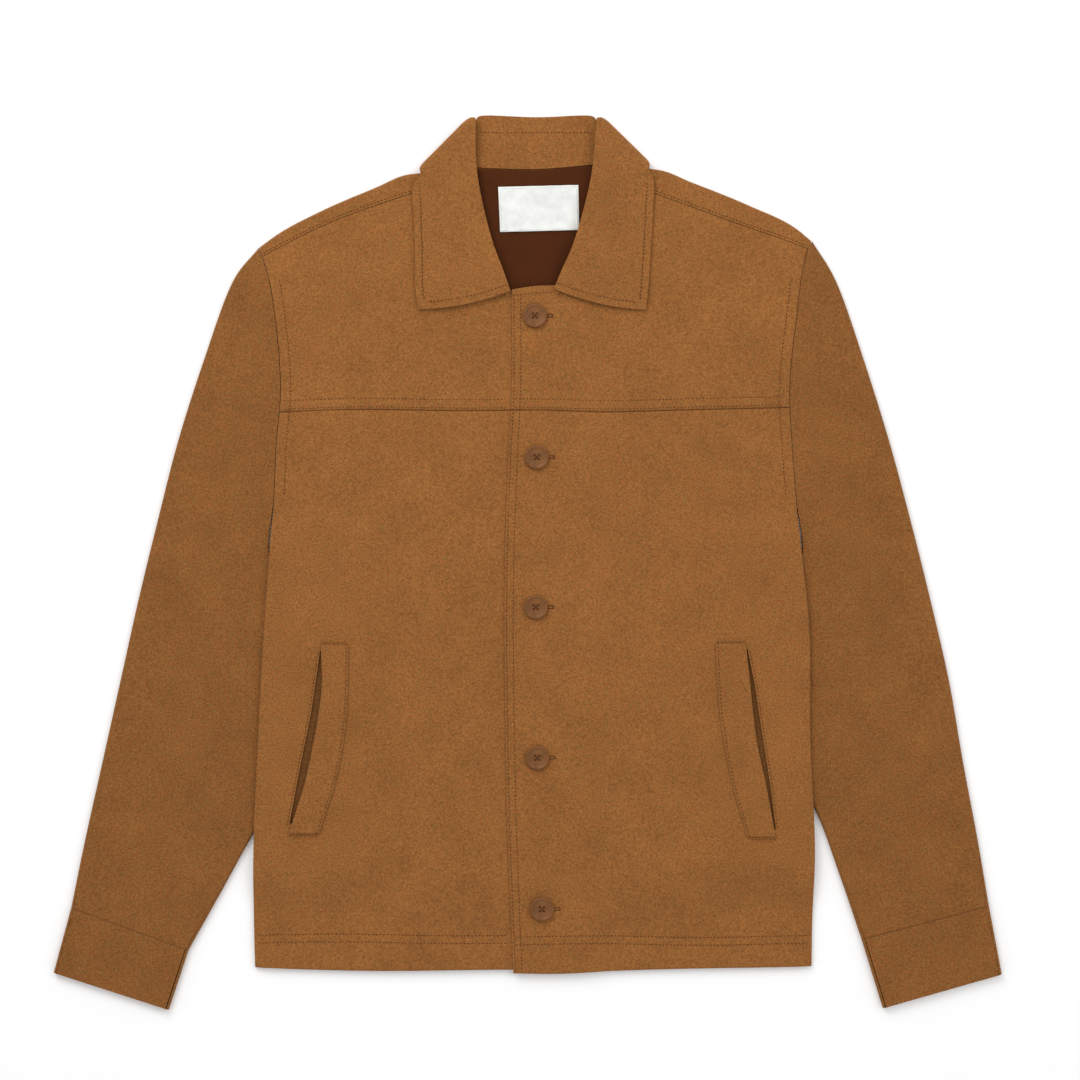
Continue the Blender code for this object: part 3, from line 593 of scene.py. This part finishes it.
def collar_band(name, far, thickness, outer_radius, front_lift, cells):
    """Part of the collar between its roll line and a far edge, folded at both sides of the neck."""
    share = np.linspace(0, 1, cells + 1)[:, None]
    outer, inner = [], []

    def add_front(row, lap):
        roll, edge = row[0:2], row[far:far + 2]
        line = (1 - share) * roll + share * edge
        line = line + (0, 1) * (row[6] * 4 * share * (1 - share))
        lift = front_lift - (row[7] * ease((share[:, 0] - 0.6) / 0.4) if far == 2 else 0.0)
        z = front_height(line[:, 0], line[:, 1], lap) + lift
        outer.append(np.column_stack([line, z + thickness]))
        inner.append(np.column_stack([line, z]))

    def add_fold(row, turn, side):
        roll, fold_end, edge = row[0:2], row[2:4], row[far:far + 2]
        along_fold = (fold_end - roll) / np.linalg.norm(fold_end - roll)
        outward = np.array([-along_fold[1], along_fold[0]]) * side
        line = (1 - share) * roll + share * edge
        for radius, skin in ((outer_radius, outer), (outer_radius - thickness, inner)):
            ends = np.minimum(share / 0.16, (1 - share) / 0.12)
            corner = 0.3 + 0.7 * np.sqrt(1 - (1 - np.clip(ends, 0, 1)) ** 2)
            plan = line + corner * radius * math.sin(turn) * outward
            z = np.full(len(line), ROLL_CENTRE + radius * math.cos(turn))
            skin.append(np.column_stack([plan, z]))

    folds = [math.pi * k / 14 for k in range(15)]
    for row in sections(RIGHT_COLLAR, 90)[:-1]:
        add_front(row, lap=False)
    for turn in folds:
        add_fold(RIGHT_COLLAR[-1], turn, -1)
    ends = (RIGHT_COLLAR[-1:, :6], BACK_COLLAR, LEFT_COLLAR[-1:, :6])
    for row in sections(np.vstack(ends), 70)[1:-1]:
        line = (1 - share) * row[0:2] + share * row[far:far + 2]
        low = np.full(len(line), ROLL_CENTRE - outer_radius)
        outer.append(np.column_stack([line, low]))
        inner.append(np.column_stack([line, low + thickness]))
    for turn in reversed(folds):
        add_fold(LEFT_COLLAR[-1], turn, 1)
    for row in sections(LEFT_COLLAR, 90)[::-1][1:]:
        add_front(row, lap=True)
    return grid_wall(name, np.array(outer), np.array(inner), SUEDE)


def make_collar():
    """Stand and leaf: two nested bands folded flat round the neck."""
    stand_radius = (STAND_TOP - STAND_BOTTOM) / 2
    leaf_radius = stand_radius + COLLAR_PLY_GAP + COLLAR_WALL
    collar_band("collar_stand", 4, WALL, stand_radius, SEAM, 24)
    leaf_lift = SEAM + WALL + COLLAR_PLY_GAP
    collar_band("collar_leaf", 2, COLLAR_WALL, leaf_radius, leaf_lift, 40)


def ring_of(radius, z, sides):
    """Points of a level circle."""
    turns = [2 * math.pi * k / sides for k in range(sides)]
    return [(radius * math.cos(t), radius * math.sin(t), z) for t in turns]


def turned(name, profile, sides, finish):
    """Solid turned from a profile of radius and height, closed by a flat face at each end."""
    points = [p for radius, z in profile for p in ring_of(radius, z, sides)]
    faces = grid_faces(len(profile), sides, ring=True)
    last = (len(profile) - 1) * sides
    faces.append(tuple(reversed(range(sides))))
    faces.append(tuple(range(last, last + sides)))
    return solid(name, points, faces, finish)


def node_tree(name):
    """A new material's nodes, links and shader."""
    material = bpy.data.materials.new(name)
    material.use_nodes = True
    tree = material.node_tree
    return material, tree.nodes, tree.links, tree.nodes["Principled BSDF"]


def noise(nodes, links, place, scale, detail=4.0, rough=0.6):
    """A noise texture in object space."""
    texture = nodes.new("ShaderNodeTexNoise")
    texture.inputs["Scale"].default_value = scale
    texture.inputs["Detail"].default_value = detail
    texture.inputs["Roughness"].default_value = rough
    links.new(place.outputs["Object"], texture.inputs["Vector"])
    return texture


def ramp(nodes, links, source, stops):
    """Colour ramp over a factor: stops are (place, colour)."""
    band = nodes.new("ShaderNodeValToRGB")
    while len(band.color_ramp.elements) < len(stops):
        band.color_ramp.elements.new(0.5)
    for element, (at, colour) in zip(band.color_ramp.elements, stops):
        element.position = at
        element.color = (*colour, 1.0)
    links.new(source, band.inputs["Fac"])
    return band


def mixed(nodes, links, kind, share, first, second):
    """Mix two colours."""
    mix = nodes.new("ShaderNodeMix")
    mix.data_type = "RGBA"
    mix.blend_type = kind
    mix.inputs[0].default_value = share
    links.new(first, mix.inputs[6])
    links.new(second, mix.inputs[7])
    return mix.outputs[2]


def suede_material(name, shade):
    """Napped suede: cloudy brown with a fine two-colour fleck and a soft sheen."""
    material, nodes, links, shader = node_tree(name)
    place = nodes.new("ShaderNodeTexCoord")
    base = [c * shade for c in (0.268, 0.106, 0.0295)]
    dark = [c * 0.88 for c in base]
    pale = [c * 1.12 for c in base]
    cloud = noise(nodes, links, place, 24.0, 6.0, 0.66)
    clouds = ramp(nodes, links, cloud.outputs["Fac"], [(0.30, dark), (0.52, base), (0.74, pale)])
    nap = noise(nodes, links, place, 620.0, 4.0, 0.72)
    fleck = ramp(nodes, links, nap.outputs["Fac"],
                 [(0.34, (0.66, 0.62, 0.58)), (0.5, (1.0, 1.0, 1.0)), (0.68, (1.36, 1.40, 1.46))])
    tint = noise(nodes, links, place, 900.0, 2.0, 0.5)
    tints = ramp(nodes, links, tint.outputs["Fac"], [(0.38, (1.12, 0.92, 0.85)), (0.62, (0.90, 1.08, 1.0))])
    colour = mixed(nodes, links, "MULTIPLY", 1.0, clouds.outputs["Color"], fleck.outputs["Color"])
    colour = mixed(nodes, links, "MULTIPLY", 1.0, colour, tints.outputs["Color"])
    links.new(colour, shader.inputs["Base Color"])
    bump = nodes.new("ShaderNodeBump")
    bump.inputs["Strength"].default_value = 0.35
    bump.inputs["Distance"].default_value = 0.0006
    links.new(nap.outputs["Fac"], bump.inputs["Height"])
    links.new(bump.outputs["Normal"], shader.inputs["Normal"])
    shader.inputs["Roughness"].default_value = 0.95
    shader.inputs["Specular IOR Level"].default_value = 0.12
    shader.inputs["Sheen Weight"].default_value = 0.25
    shader.inputs["Sheen Roughness"].default_value = 0.5
    shader.inputs["Sheen Tint"].default_value = (0.9, 0.6, 0.35, 1.0)
    return material


def woven_material(name, colour, roughness, scale, depth):
    """Fine plain weave with slight unevenness."""
    material, nodes, links, shader = node_tree(name)
    place = nodes.new("ShaderNodeTexCoord")
    grain = noise(nodes, links, place, scale, 3.0, 0.6)
    stops = [(0.3, [c * 0.9 for c in colour]), (0.7, [min(1.0, c * 1.08) for c in colour])]
    shades = ramp(nodes, links, grain.outputs["Fac"], stops)
    links.new(shades.outputs["Color"], shader.inputs["Base Color"])
    weave = nodes.new("ShaderNodeTexWave")
    weave.bands_direction = "DIAGONAL"
    weave.inputs["Scale"].default_value = 900.0
    links.new(place.outputs["Object"], weave.inputs["Vector"])
    bump = nodes.new("ShaderNodeBump")
    bump.inputs["Strength"].default_value = 0.25
    bump.inputs["Distance"].default_value = depth
    links.new(weave.outputs["Fac"], bump.inputs["Height"])
    links.new(bump.outputs["Normal"], shader.inputs["Normal"])
    shader.inputs["Roughness"].default_value = roughness
    shader.inputs["Specular IOR Level"].default_value = 0.15
    return material


def button_material(name):
    """Horn-brown plastic with slight mottling."""
    material, nodes, links, shader = node_tree(name)
    place = nodes.new("ShaderNodeTexCoord")
    swirl = noise(nodes, links, place, 160.0, 3.0, 0.5)
    shades = ramp(nodes, links, swirl.outputs["Fac"], [(0.3, (0.135, 0.048, 0.010)), (0.7, (0.21, 0.080, 0.019))])
    links.new(shades.outputs["Color"], shader.inputs["Base Color"])
    shader.inputs["Roughness"].default_value = 0.48
    shader.inputs["Specular IOR Level"].default_value = 0.28
    return material


MATERIALS = {
    "suede": suede_material("suede_body", 1.0),
    "sleeve": suede_material("suede_sleeve", 0.86),
    # Darker copy of the suede for the cloth seen in the pocket mouths: painted shade.
    "facing_painted_shade": suede_material("suede_painted_mouth_shade", 0.55),
    "lining": woven_material("lining_cloth", (0.066, 0.0155, 0.0018), 0.85, 60.0, 0.0001),
    "label": woven_material("label_cloth", (0.80, 0.81, 0.78), 0.8, 90.0, 0.0003),
    "button": button_material("button_brown"),
    "thread": woven_material("thread_brown", (0.120, 0.042, 0.011), 0.8, 300.0, 0.0001),
}


def solid(name, points, faces, finish):
    """One mesh object in millimetres, riding on the jacket's only body and shown in its node's place."""
    kind = finish if isinstance(finish, str) else finish[0]
    if name.startswith(("sleeve_", "cuff_")):
        kind = "sleeve"
    mesh = bpy.data.meshes.new(name + "_cloth")
    mesh.from_pydata((np.asarray(points, float) * MM).tolist(), [], faces)
    work = bmesh.new()
    work.from_mesh(mesh)
    bmesh.ops.recalc_face_normals(work, faces=work.faces)
    work.to_mesh(mesh)
    work.free()
    mesh.shade_smooth()
    mesh.set_sharp_from_angle(angle=math.radians(60))
    mesh.materials.append(MATERIALS[kind])
    thing = bpy.data.objects.new(name + "_look", mesh)
    bpy.context.scene.collection.objects.link(thing)
    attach(thing, "root")
    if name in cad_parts:
        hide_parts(name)
    SHOWN[name] = thing
    return thing


def rounded(grid):
    """Share of the way up to full height, 0 at a grid's edges and 1 past EDGE_ROUND inside them."""
    def reach(points):
        step = np.linalg.norm(np.diff(points, axis=1), axis=2)
        run = np.concatenate([np.zeros((len(points), 1)), np.cumsum(step, axis=1)], axis=1)
        return np.minimum(run, run[:, -1:] - run)
    near = np.minimum(reach(grid), reach(grid.transpose(1, 0, 2)).T)
    return np.sqrt(1 - (1 - np.clip(near / EDGE_ROUND, 0, 1)) ** 2)


def finer_edges(plan):
    """The grid with two more rows and columns close to each edge, for its rounding."""
    for _ in range(2):
        first, last = plan[:, :1], plan[:, -1:]
        a, b = plan[:, 1:2], plan[:, -2:-1]
        near = [first, first + 0.12 * (a - first), first + 0.4 * (a - first)]
        far = [last + 0.4 * (b - last), last + 0.12 * (b - last), last]
        plan = np.concatenate(near + [plan[:, 1:-1]] + far, axis=1).transpose(1, 0, 2)
    return plan


def along_mouth(plan, table):
    """Bends a front's columns along its pocket mouth; also the corner points of the faces it opens."""
    row = np.argmin(np.abs(plan[:, len(plan[0]) // 2, 1] - table[:, 0].mean()))
    column = np.argmin(np.abs(plan[row, :, 0] - at_value(table[::-1], table[:, 0].mean())[0]))
    opened = set()
    plan = plan.copy()
    for index, line in enumerate(plan):
        y = line[column, 1]
        reach = np.clip(y, table[-1, 0], table[0, 0])
        low, high = sorted((at_value(table[::-1], reach, 1)[0], at_value(table[::-1], reach, 2)[0]))
        stays = line[:, 0].copy()
        line[:, 0] = np.interp(stays, [stays[0], stays[column], stays[column + 1], stays[-1]],
                               [stays[0], low, high, stays[-1]])
        if table[-1, 0] < y < table[0, 0]:
            opened.add(index * plan.shape[1] + column)
    return plan, opened


def lay(name, plan, base, thickness, finish):
    """Cloth lying on the height base(x, y) with softly rounded edges."""
    plan = finer_edges(plan)
    mouth = None
    if name in SLITS:
        plan, mouth = along_mouth(plan, SLITS[name])
    x, y = plan[..., 0], plan[..., 1]
    z = base(x.ravel(), y.ravel()).reshape(x.shape)
    high = z + thickness * (0.45 + 0.55 * rounded(plan))
    faces = grid_faces(*x.shape)
    if mouth is not None:
        faces = [face for face in faces if face[0] not in mouth]
    high, low = np.dstack([x, y, high]).reshape(-1, 3), np.dstack([x, y, z]).reshape(-1, 3)
    return wall(name, high, low, faces, finish)


def make_neck_inside(neck_columns):
    """What shows inside the neck: the back lining and the blank, slightly puckered label."""
    def on_back(x, y):
        return back_height(x, y) + WALL + SEAM + 0.3 * np.sin(x / 9.0 + y / 31.0) ** 2

    def on_lining(x, y):
        edge = np.minimum(np.minimum(y - 297, 338 - y), np.minimum(x + 26, 46 - x))
        pucker = 0.35 * np.sin(x / 2.6) * np.exp(-np.clip(edge, 0, None) / 4.0)
        return on_back(x, y) + THIN_WALL + SEAM + 0.4 + pucker

    lay("back_lining", neck_columns, on_back, THIN_WALL, "lining")
    low, high = along(LABEL[:2], 90), along(LABEL[[3, 2]], 90)
    plan = patch(low, high, along(LABEL[[0, 3]], 50), along(LABEL[1:3], 50))
    lay("neck_label", plan, on_lining, THIN_WALL, "label")


def pocket_lines(table, past=0.0, count=60):
    """Lip, free edge and sewn edge of a pocket, each as plan points from top to bottom."""
    y = np.linspace(table[0, 0] + past, table[-1, 0] - past, count)
    return [np.column_stack([at_value(table[::-1], y, c), y]) for c in (1, 2, 3)]


def make_pocket(side_name, table):
    """Welt, the mouth beside it, darkened with painted shade, and its lip."""
    share = np.linspace(0, 1, 22)[None, :, None]
    _, free, sewn = pocket_lines(table, WELT_END, 90)
    plan = (1 - share) * free[:, None] + share * sewn[:, None]

    def on_front(x, y):
        return front_height(x, y, lap=False) + SEAM

    lay(f"pocket_welt_{side_name}", plan, on_front, WELT_WALL - 0.4, "suede")
    lip, free, _ = pocket_lines(table, 8.0)
    away = np.sign(table[0, 1])
    plan = (1 - share) * (lip + (away * 10.0, 0))[:, None] + share * (free - (away * 16.0, 0))[:, None]

    def behind_front(x, y):
        return back_height(x, y) + WALL + PLY_ROOM / 2 - THIN_WALL / 2

    # The cloth seen through the mouth takes the darker suede: painted shade inside the pocket.
    lay(f"pocket_facing_{side_name}", plan, behind_front, THIN_WALL, "facing_painted_shade")


def capsule(start, end, radius, lift):
    """Points of one short stitch, four rings of six, thick in the middle and buried at its ends."""
    way = end - start
    length = np.linalg.norm(way[:2])
    side = np.array([-way[1], way[0], 0.0]) / max(length, 1e-6)
    up = np.array([0.0, 0.0, 1.0])
    points = []
    for share, size, height in ((0.0, 0.45, -0.25), (0.3, 1.0, 0.0), (0.7, 1.0, 0.0), (1.0, 0.45, -0.25)):
        centre = start + share * way + up * (lift + height)
        for turn in range(6):
            t = math.pi * turn / 3
            points.append(centre + radius * size * (math.cos(t) * side + math.sin(t) * up))
    return points


class Stitches:
    """Gathers stitches and makes them one joined mesh."""

    def __init__(self):
        self.points = []
        self.faces = []

    def add(self, start, end, radius=THREAD_RADIUS, lift=0.1):
        first = len(self.points)
        self.points += capsule(np.asarray(start, float), np.asarray(end, float), radius, lift)
        for ring in range(3):
            for k in range(6):
                a = first + ring * 6 + k
                b = first + ring * 6 + (k + 1) % 6
                self.faces.append((a, b, b + 6, a + 6))
        self.faces.append(tuple(first + k for k in reversed(range(6))))
        self.faces.append(tuple(first + 18 + k for k in range(6)))

    def row(self, line, height, pitch=STITCH_PITCH, length=STITCH_LENGTH):
        """Evenly spaced stitches along plan points on a surface height(x, y)."""
        line = np.asarray(line, float)
        step = np.linalg.norm(np.diff(line, axis=0), axis=1)
        run = np.concatenate([[0.0], np.cumsum(step)])
        at = np.arange(pitch / 2, run[-1] - pitch / 2, pitch)
        for first, last in ((a - length / 2, a + length / 2) for a in at):
            ends = [np.array([np.interp(v, run, line[:, 0]), np.interp(v, run, line[:, 1])]) for v in (first, last)]
            z = [float(np.ravel(height(e[:1], e[1:]))[0]) for e in ends]
            self.add((*ends[0], z[0]), (*ends[1], z[1]))

    def make(self, name, kind="thread"):
        return solid(name, self.points, self.faces, kind)


def flat_top(height):
    """A level surface."""
    return lambda x, y: np.full(np.shape(x), height)


def sew():
    """All the topstitching that shows, by panel."""
    right = lambda x, y: front_height(x, y, lap=False)
    left = lambda x, y: front_height(x, y, lap=True)
    sewn = Stitches()
    for offset in (2.5, 10.0):
        x = np.linspace(-220, -22, 80)
        sewn.row(np.column_stack([x, at_value(YOKE, x) + offset]), right)
        x = np.linspace(-12, 232, 90)
        sewn.row(np.column_stack([x, at_value(YOKE, x) + offset]), left)
        y = np.linspace(-366, 243, 160)
        sewn.row(np.column_stack([at_value(FRONT_EDGE, y) + offset * 0.8, y]), left)
    for rise in (24.0, 31.0):
        x = np.linspace(-243, -18, 60)
        sewn.row(np.column_stack([x, -365.5 + rise + 0.8 * np.sin(x / 37.0)]), right)
        x = np.linspace(-12, 253, 70)
        sewn.row(np.column_stack([x, -367.0 + rise + 0.8 * np.sin(x / 33.0)]), left)
    sewn.row([(-14, 239.5), (4, 241.5), (25, 242.0)], left)
    for side, height in ((-1, right), (1, left)):
        y = np.linspace(60, 255, 60)
        sewn.row(np.column_stack([side_x(y, side) - side * 9.0, y]), height)
    sewn.make("stitches_fronts")

    collar = Stitches()
    for table, lap in ((RIGHT_COLLAR, False), (LEFT_COLLAR, True)):
        rows = sections(table, 60)
        def on_leaf(x, y, lap=lap):
            return front_height(x, y, lap) + SEAM + WALL + COLLAR_PLY_GAP + COLLAR_WALL - 1.0
        inset = np.array([r[2:4] + 6.5 * (r[0:2] - r[2:4]) / np.linalg.norm(r[0:2] - r[2:4]) for r in rows])
        collar.row(inset[5:52], on_leaf)
        share = np.linspace(0.03, 0.92, 30)[:, None]
        low = (1 - share) * rows[0][0:2] + share * rows[0][2:4]
        low = low + (0, 1) * (rows[0][6] * 4 * share * (1 - share)) + (0, 6.5)
        collar.row(low, lambda x, y, lap=lap: front_height(x, y, lap) + SEAM + WALL + COLLAR_PLY_GAP + COLLAR_WALL)
    x = np.linspace(-43, 58, 30)
    collar.row(np.column_stack([x, 386 + 0 * x]), flat_top(STAND_BOTTOM + WALL))
    collar.make("stitches_collar")

    label = Stitches()
    corners = LABEL.mean(axis=0) + (LABEL - LABEL.mean(axis=0)) * (0.95, 0.92)
    for first, last in zip(corners, np.roll(corners, -1, axis=0)):
        label.row([first, last], lambda x, y: back_height(x, y) + WALL + 2 * SEAM + 2 * THIN_WALL + 0.55, 2.2, 1.5)
    label.make("stitches_label", "label")

    cuffs = Stitches()
    for table in (RIGHT_CUFF, LEFT_CUFF):
        for part in (0.11, 0.88):
            row = (1 - part) * table[0] + part * table[1]
            cuffs.row([row[:2] * 0.96 + row[2:] * 0.04, row[:2] * 0.04 + row[2:] * 0.96], flat_top(BODY_TOP + 0.05))
    cuffs.make("stitches_cuffs")

    pockets = Stitches()
    for table in (RIGHT_POCKET, LEFT_POCKET):
        away = np.sign(table[0, 1])
        lip, _, _ = pocket_lines(table)
        pockets.row(lip + (away * 1.6, 0), right)
        _, free, sewn_edge = pocket_lines(table, WELT_END + 2.0)
        on_welt = lambda x, y: right(x, y) + SEAM + WELT_WALL - 0.4
        pockets.row(sewn_edge + (away * 2.0, 0), on_welt)
        for end in (0, -1):
            pockets.row([free[end], sewn_edge[end]], on_welt)
    pockets.make("stitches_pockets")

    shoulder = Stitches()
    for table, lap in ((RIGHT_SHOULDER, False), (LEFT_SHOULDER, True)):
        seam = along(table[:-2, 2:], 60)
        shoulder.row(seam + (0, 2.6), lambda x, y: back_height(x, y) + BODY_TOP + 0.05)
    shoulder.make("stitches_shoulders")


def sew_buttonholes():
    """Dense stitching round each buttonhole and crossed threads in each button."""
    holes, crosses = Stitches(), Stitches()
    for x, y in BUTTONS:
        base = float(front_height(np.array([x]), np.array([y]))[0])
        for along_hole in np.arange(x + 8.0, x + BUTTONHOLE_AHEAD + 1.5, 0.55):
            for way in (-1, 1):
                holes.add((along_hole, y + way * 0.4, base), (along_hole, y + way * 1.9, base), 0.24, 0.05)
        for turn in np.linspace(-1.2, 1.2, 7):
            tip = (x + BUTTONHOLE_AHEAD + 1.4 * math.cos(turn), y + 1.9 * math.sin(turn), base)
            holes.add((x + BUTTONHOLE_AHEAD + 0.2, y + 0.5 * math.sin(turn), base), tip, 0.26, 0.05)
        top = BODY_TOP + LAP_STEP + SEAM + BUTTON_HEIGHT - BUTTON_DISH + 0.6
        for sx in (-1, 1):
            start = (x + sx * THREAD_HOLE_OFFSET, y - THREAD_HOLE_OFFSET, top)
            end = (x - sx * THREAD_HOLE_OFFSET, y + THREAD_HOLE_OFFSET, top)
            crosses.add(start, end, 0.45, 0.0)
    holes.make("stitches_buttonholes")
    crosses.make("button_threads")


def make_buttons():
    """Five four-hole buttons with a raised rounded rim; each hole is a dark disc of painted shade."""
    rim_out, rim_in = BUTTON_RADIUS, BUTTON_RADIUS - BUTTON_RIM
    profile = [(SHANK_RADIUS, -LAP_STEP), (SHANK_RADIUS, 0.0), (rim_out - 1.6, 0.0), (rim_out - 0.4, 0.8)]
    profile += [(rim_out - 1.1 + 1.1 * math.cos(t), BUTTON_HEIGHT - 1.1 + 1.1 * math.sin(t))
                for t in np.linspace(0, math.pi / 2, 7)]
    profile += [(rim_in + 0.5, BUTTON_HEIGHT), (rim_in, BUTTON_HEIGHT - 0.15), (rim_in - 0.5, BUTTON_HEIGHT - 0.6),
                (rim_in - 1.2, BUTTON_HEIGHT - BUTTON_DISH), (4.6, BUTTON_HEIGHT - BUTTON_DISH - 0.1)]
    for number, (x, y) in enumerate(BUTTONS, 1):
        button = turned(f"button_{number}", profile, 96, "button")
        button.location = (x * MM, y * MM, (BODY_TOP + LAP_STEP + SEAM + 0.2) * MM)
        # Dark discs at the four thread holes, in the lining colour: painted shade for the holes' depth.
        dark = Stitches()
        level = BODY_TOP + LAP_STEP + SEAM + 0.2 + BUTTON_HEIGHT - BUTTON_DISH - 0.05
        for sx, sy in ((1, 1), (-1, 1), (-1, -1), (1, -1)):
            cx, cy = x + sx * THREAD_HOLE_OFFSET, y + sy * THREAD_HOLE_OFFSET
            dark.points += [(cx + 0.95 * math.cos(t), cy + 0.95 * math.sin(t), level)
                            for t in np.linspace(0, 2 * math.pi, 16, endpoint=False)]
            first = len(dark.points) - 16
            dark.faces.append(tuple(first + k for k in range(16)))
        dark.make(f"button_{number}_holes", "lining")


def wrinkle_sleeves():
    """Long soft creases on the upper face of the sleeves and cuffs."""
    for name in ("sleeve_right", "sleeve_left", "cuff_right", "cuff_left"):
        mesh = SHOWN[name].data
        co = np.empty(len(mesh.vertices) * 3)
        mesh.vertices.foreach_get("co", co)
        co = co.reshape(-1, 3) / MM
        lift = np.zeros(len(co))
        for cx, cy, angle, length, width, depth in SLEEVE_CREASES:
            turn = math.radians(angle)
            u = (co[:, 0] - cx) * math.cos(turn) + (co[:, 1] - cy) * math.sin(turn)
            v = (co[:, 1] - cy) * math.cos(turn) - (co[:, 0] - cx) * math.sin(turn)
            lift += depth * np.exp(-(u / length) ** 2 - (v / width) ** 2)
        inside = np.abs(co[:, 0]) > 250
        co[:, 2] += lift * ease((co[:, 2] - 2.0) / 3.0) * np.where(inside, 1.0, 0.0)
        mesh.vertices.foreach_set("co", (co * MM).ravel())
        mesh.update()


def light_and_camera():
    """White floor, soft studio light from above and a camera straight over the jacket."""
    mesh = bpy.data.meshes.new("floor")
    mesh.from_pydata([(-3, -3, -0.0002), (3, -3, -0.0002), (3, 3, -0.0002), (-3, 3, -0.0002)], [], [(0, 1, 2, 3)])
    floor = bpy.data.objects.new("floor", mesh)
    bpy.context.scene.collection.objects.link(floor)
    material, _, _, shader = node_tree("floor_white")
    shader.inputs["Base Color"].default_value = (1.0, 1.0, 1.0, 1.0)
    shader.inputs["Roughness"].default_value = 1.0
    shader.inputs["Specular IOR Level"].default_value = 0.0
    mesh.materials.append(material)
    world = bpy.data.worlds.new("studio")
    bpy.context.scene.world = world
    world.use_nodes = True
    world.node_tree.nodes["Background"].inputs["Color"].default_value = (1.0, 1.0, 1.0, 1.0)
    world.node_tree.nodes["Background"].inputs["Strength"].default_value = WORLD_LIGHT
    for name, place, size, power in AREA_LIGHTS:
        lamp = bpy.data.lights.new(name, "AREA")
        lamp.shape = "RECTANGLE"
        lamp.size, lamp.size_y = size
        lamp.energy = power
        thing = bpy.data.objects.new(name, lamp)
        thing.location = place
        thing.rotation_euler = (-thing.location).to_track_quat("-Z", "Y").to_euler()
        bpy.context.scene.collection.objects.link(thing)
    camera = bpy.data.cameras.new("camera")
    camera.lens, camera.sensor_width = LENS, SENSOR
    thing = bpy.data.objects.new("camera", camera)
    thing.location = (CAMERA_X * MM, CAMERA_Y * MM, VIEW_WIDTH * MM * LENS / SENSOR)
    bpy.context.scene.collection.objects.link(thing)
    bpy.context.scene.camera = thing
    bpy.context.scene.view_settings.view_transform = "Standard"


WORLD_LIGHT = 0.72
AREA_LIGHTS = (
    ("key", (-0.9, 1.5, 1.5), (1.2, 1.2), 22.0),
    ("fill", (1.4, 0.6, 1.8), (1.5, 1.5), 10.0),
)

for pocket_front, pocket_table in (("front_right_lower", RIGHT_POCKET), ("front_left_lower", LEFT_POCKET)):
    SLITS[pocket_front] = pocket_table
neck_columns = make_back()
make_right_front()
make_left_front()
make_sleeve("sleeve_right", RIGHT_SLEEVE, -1)
make_sleeve("sleeve_left", LEFT_SLEEVE, 1)
make_cuff("cuff_right", RIGHT_CUFF)
make_cuff("cuff_left", LEFT_CUFF)
wrinkle_sleeves()
make_collar()
make_neck_inside(neck_columns)
make_pocket("right", RIGHT_POCKET)
make_pocket("left", LEFT_POCKET)
make_buttons()
sew()
sew_buttonholes()
light_and_camera()

bpy.context.view_layer.update()
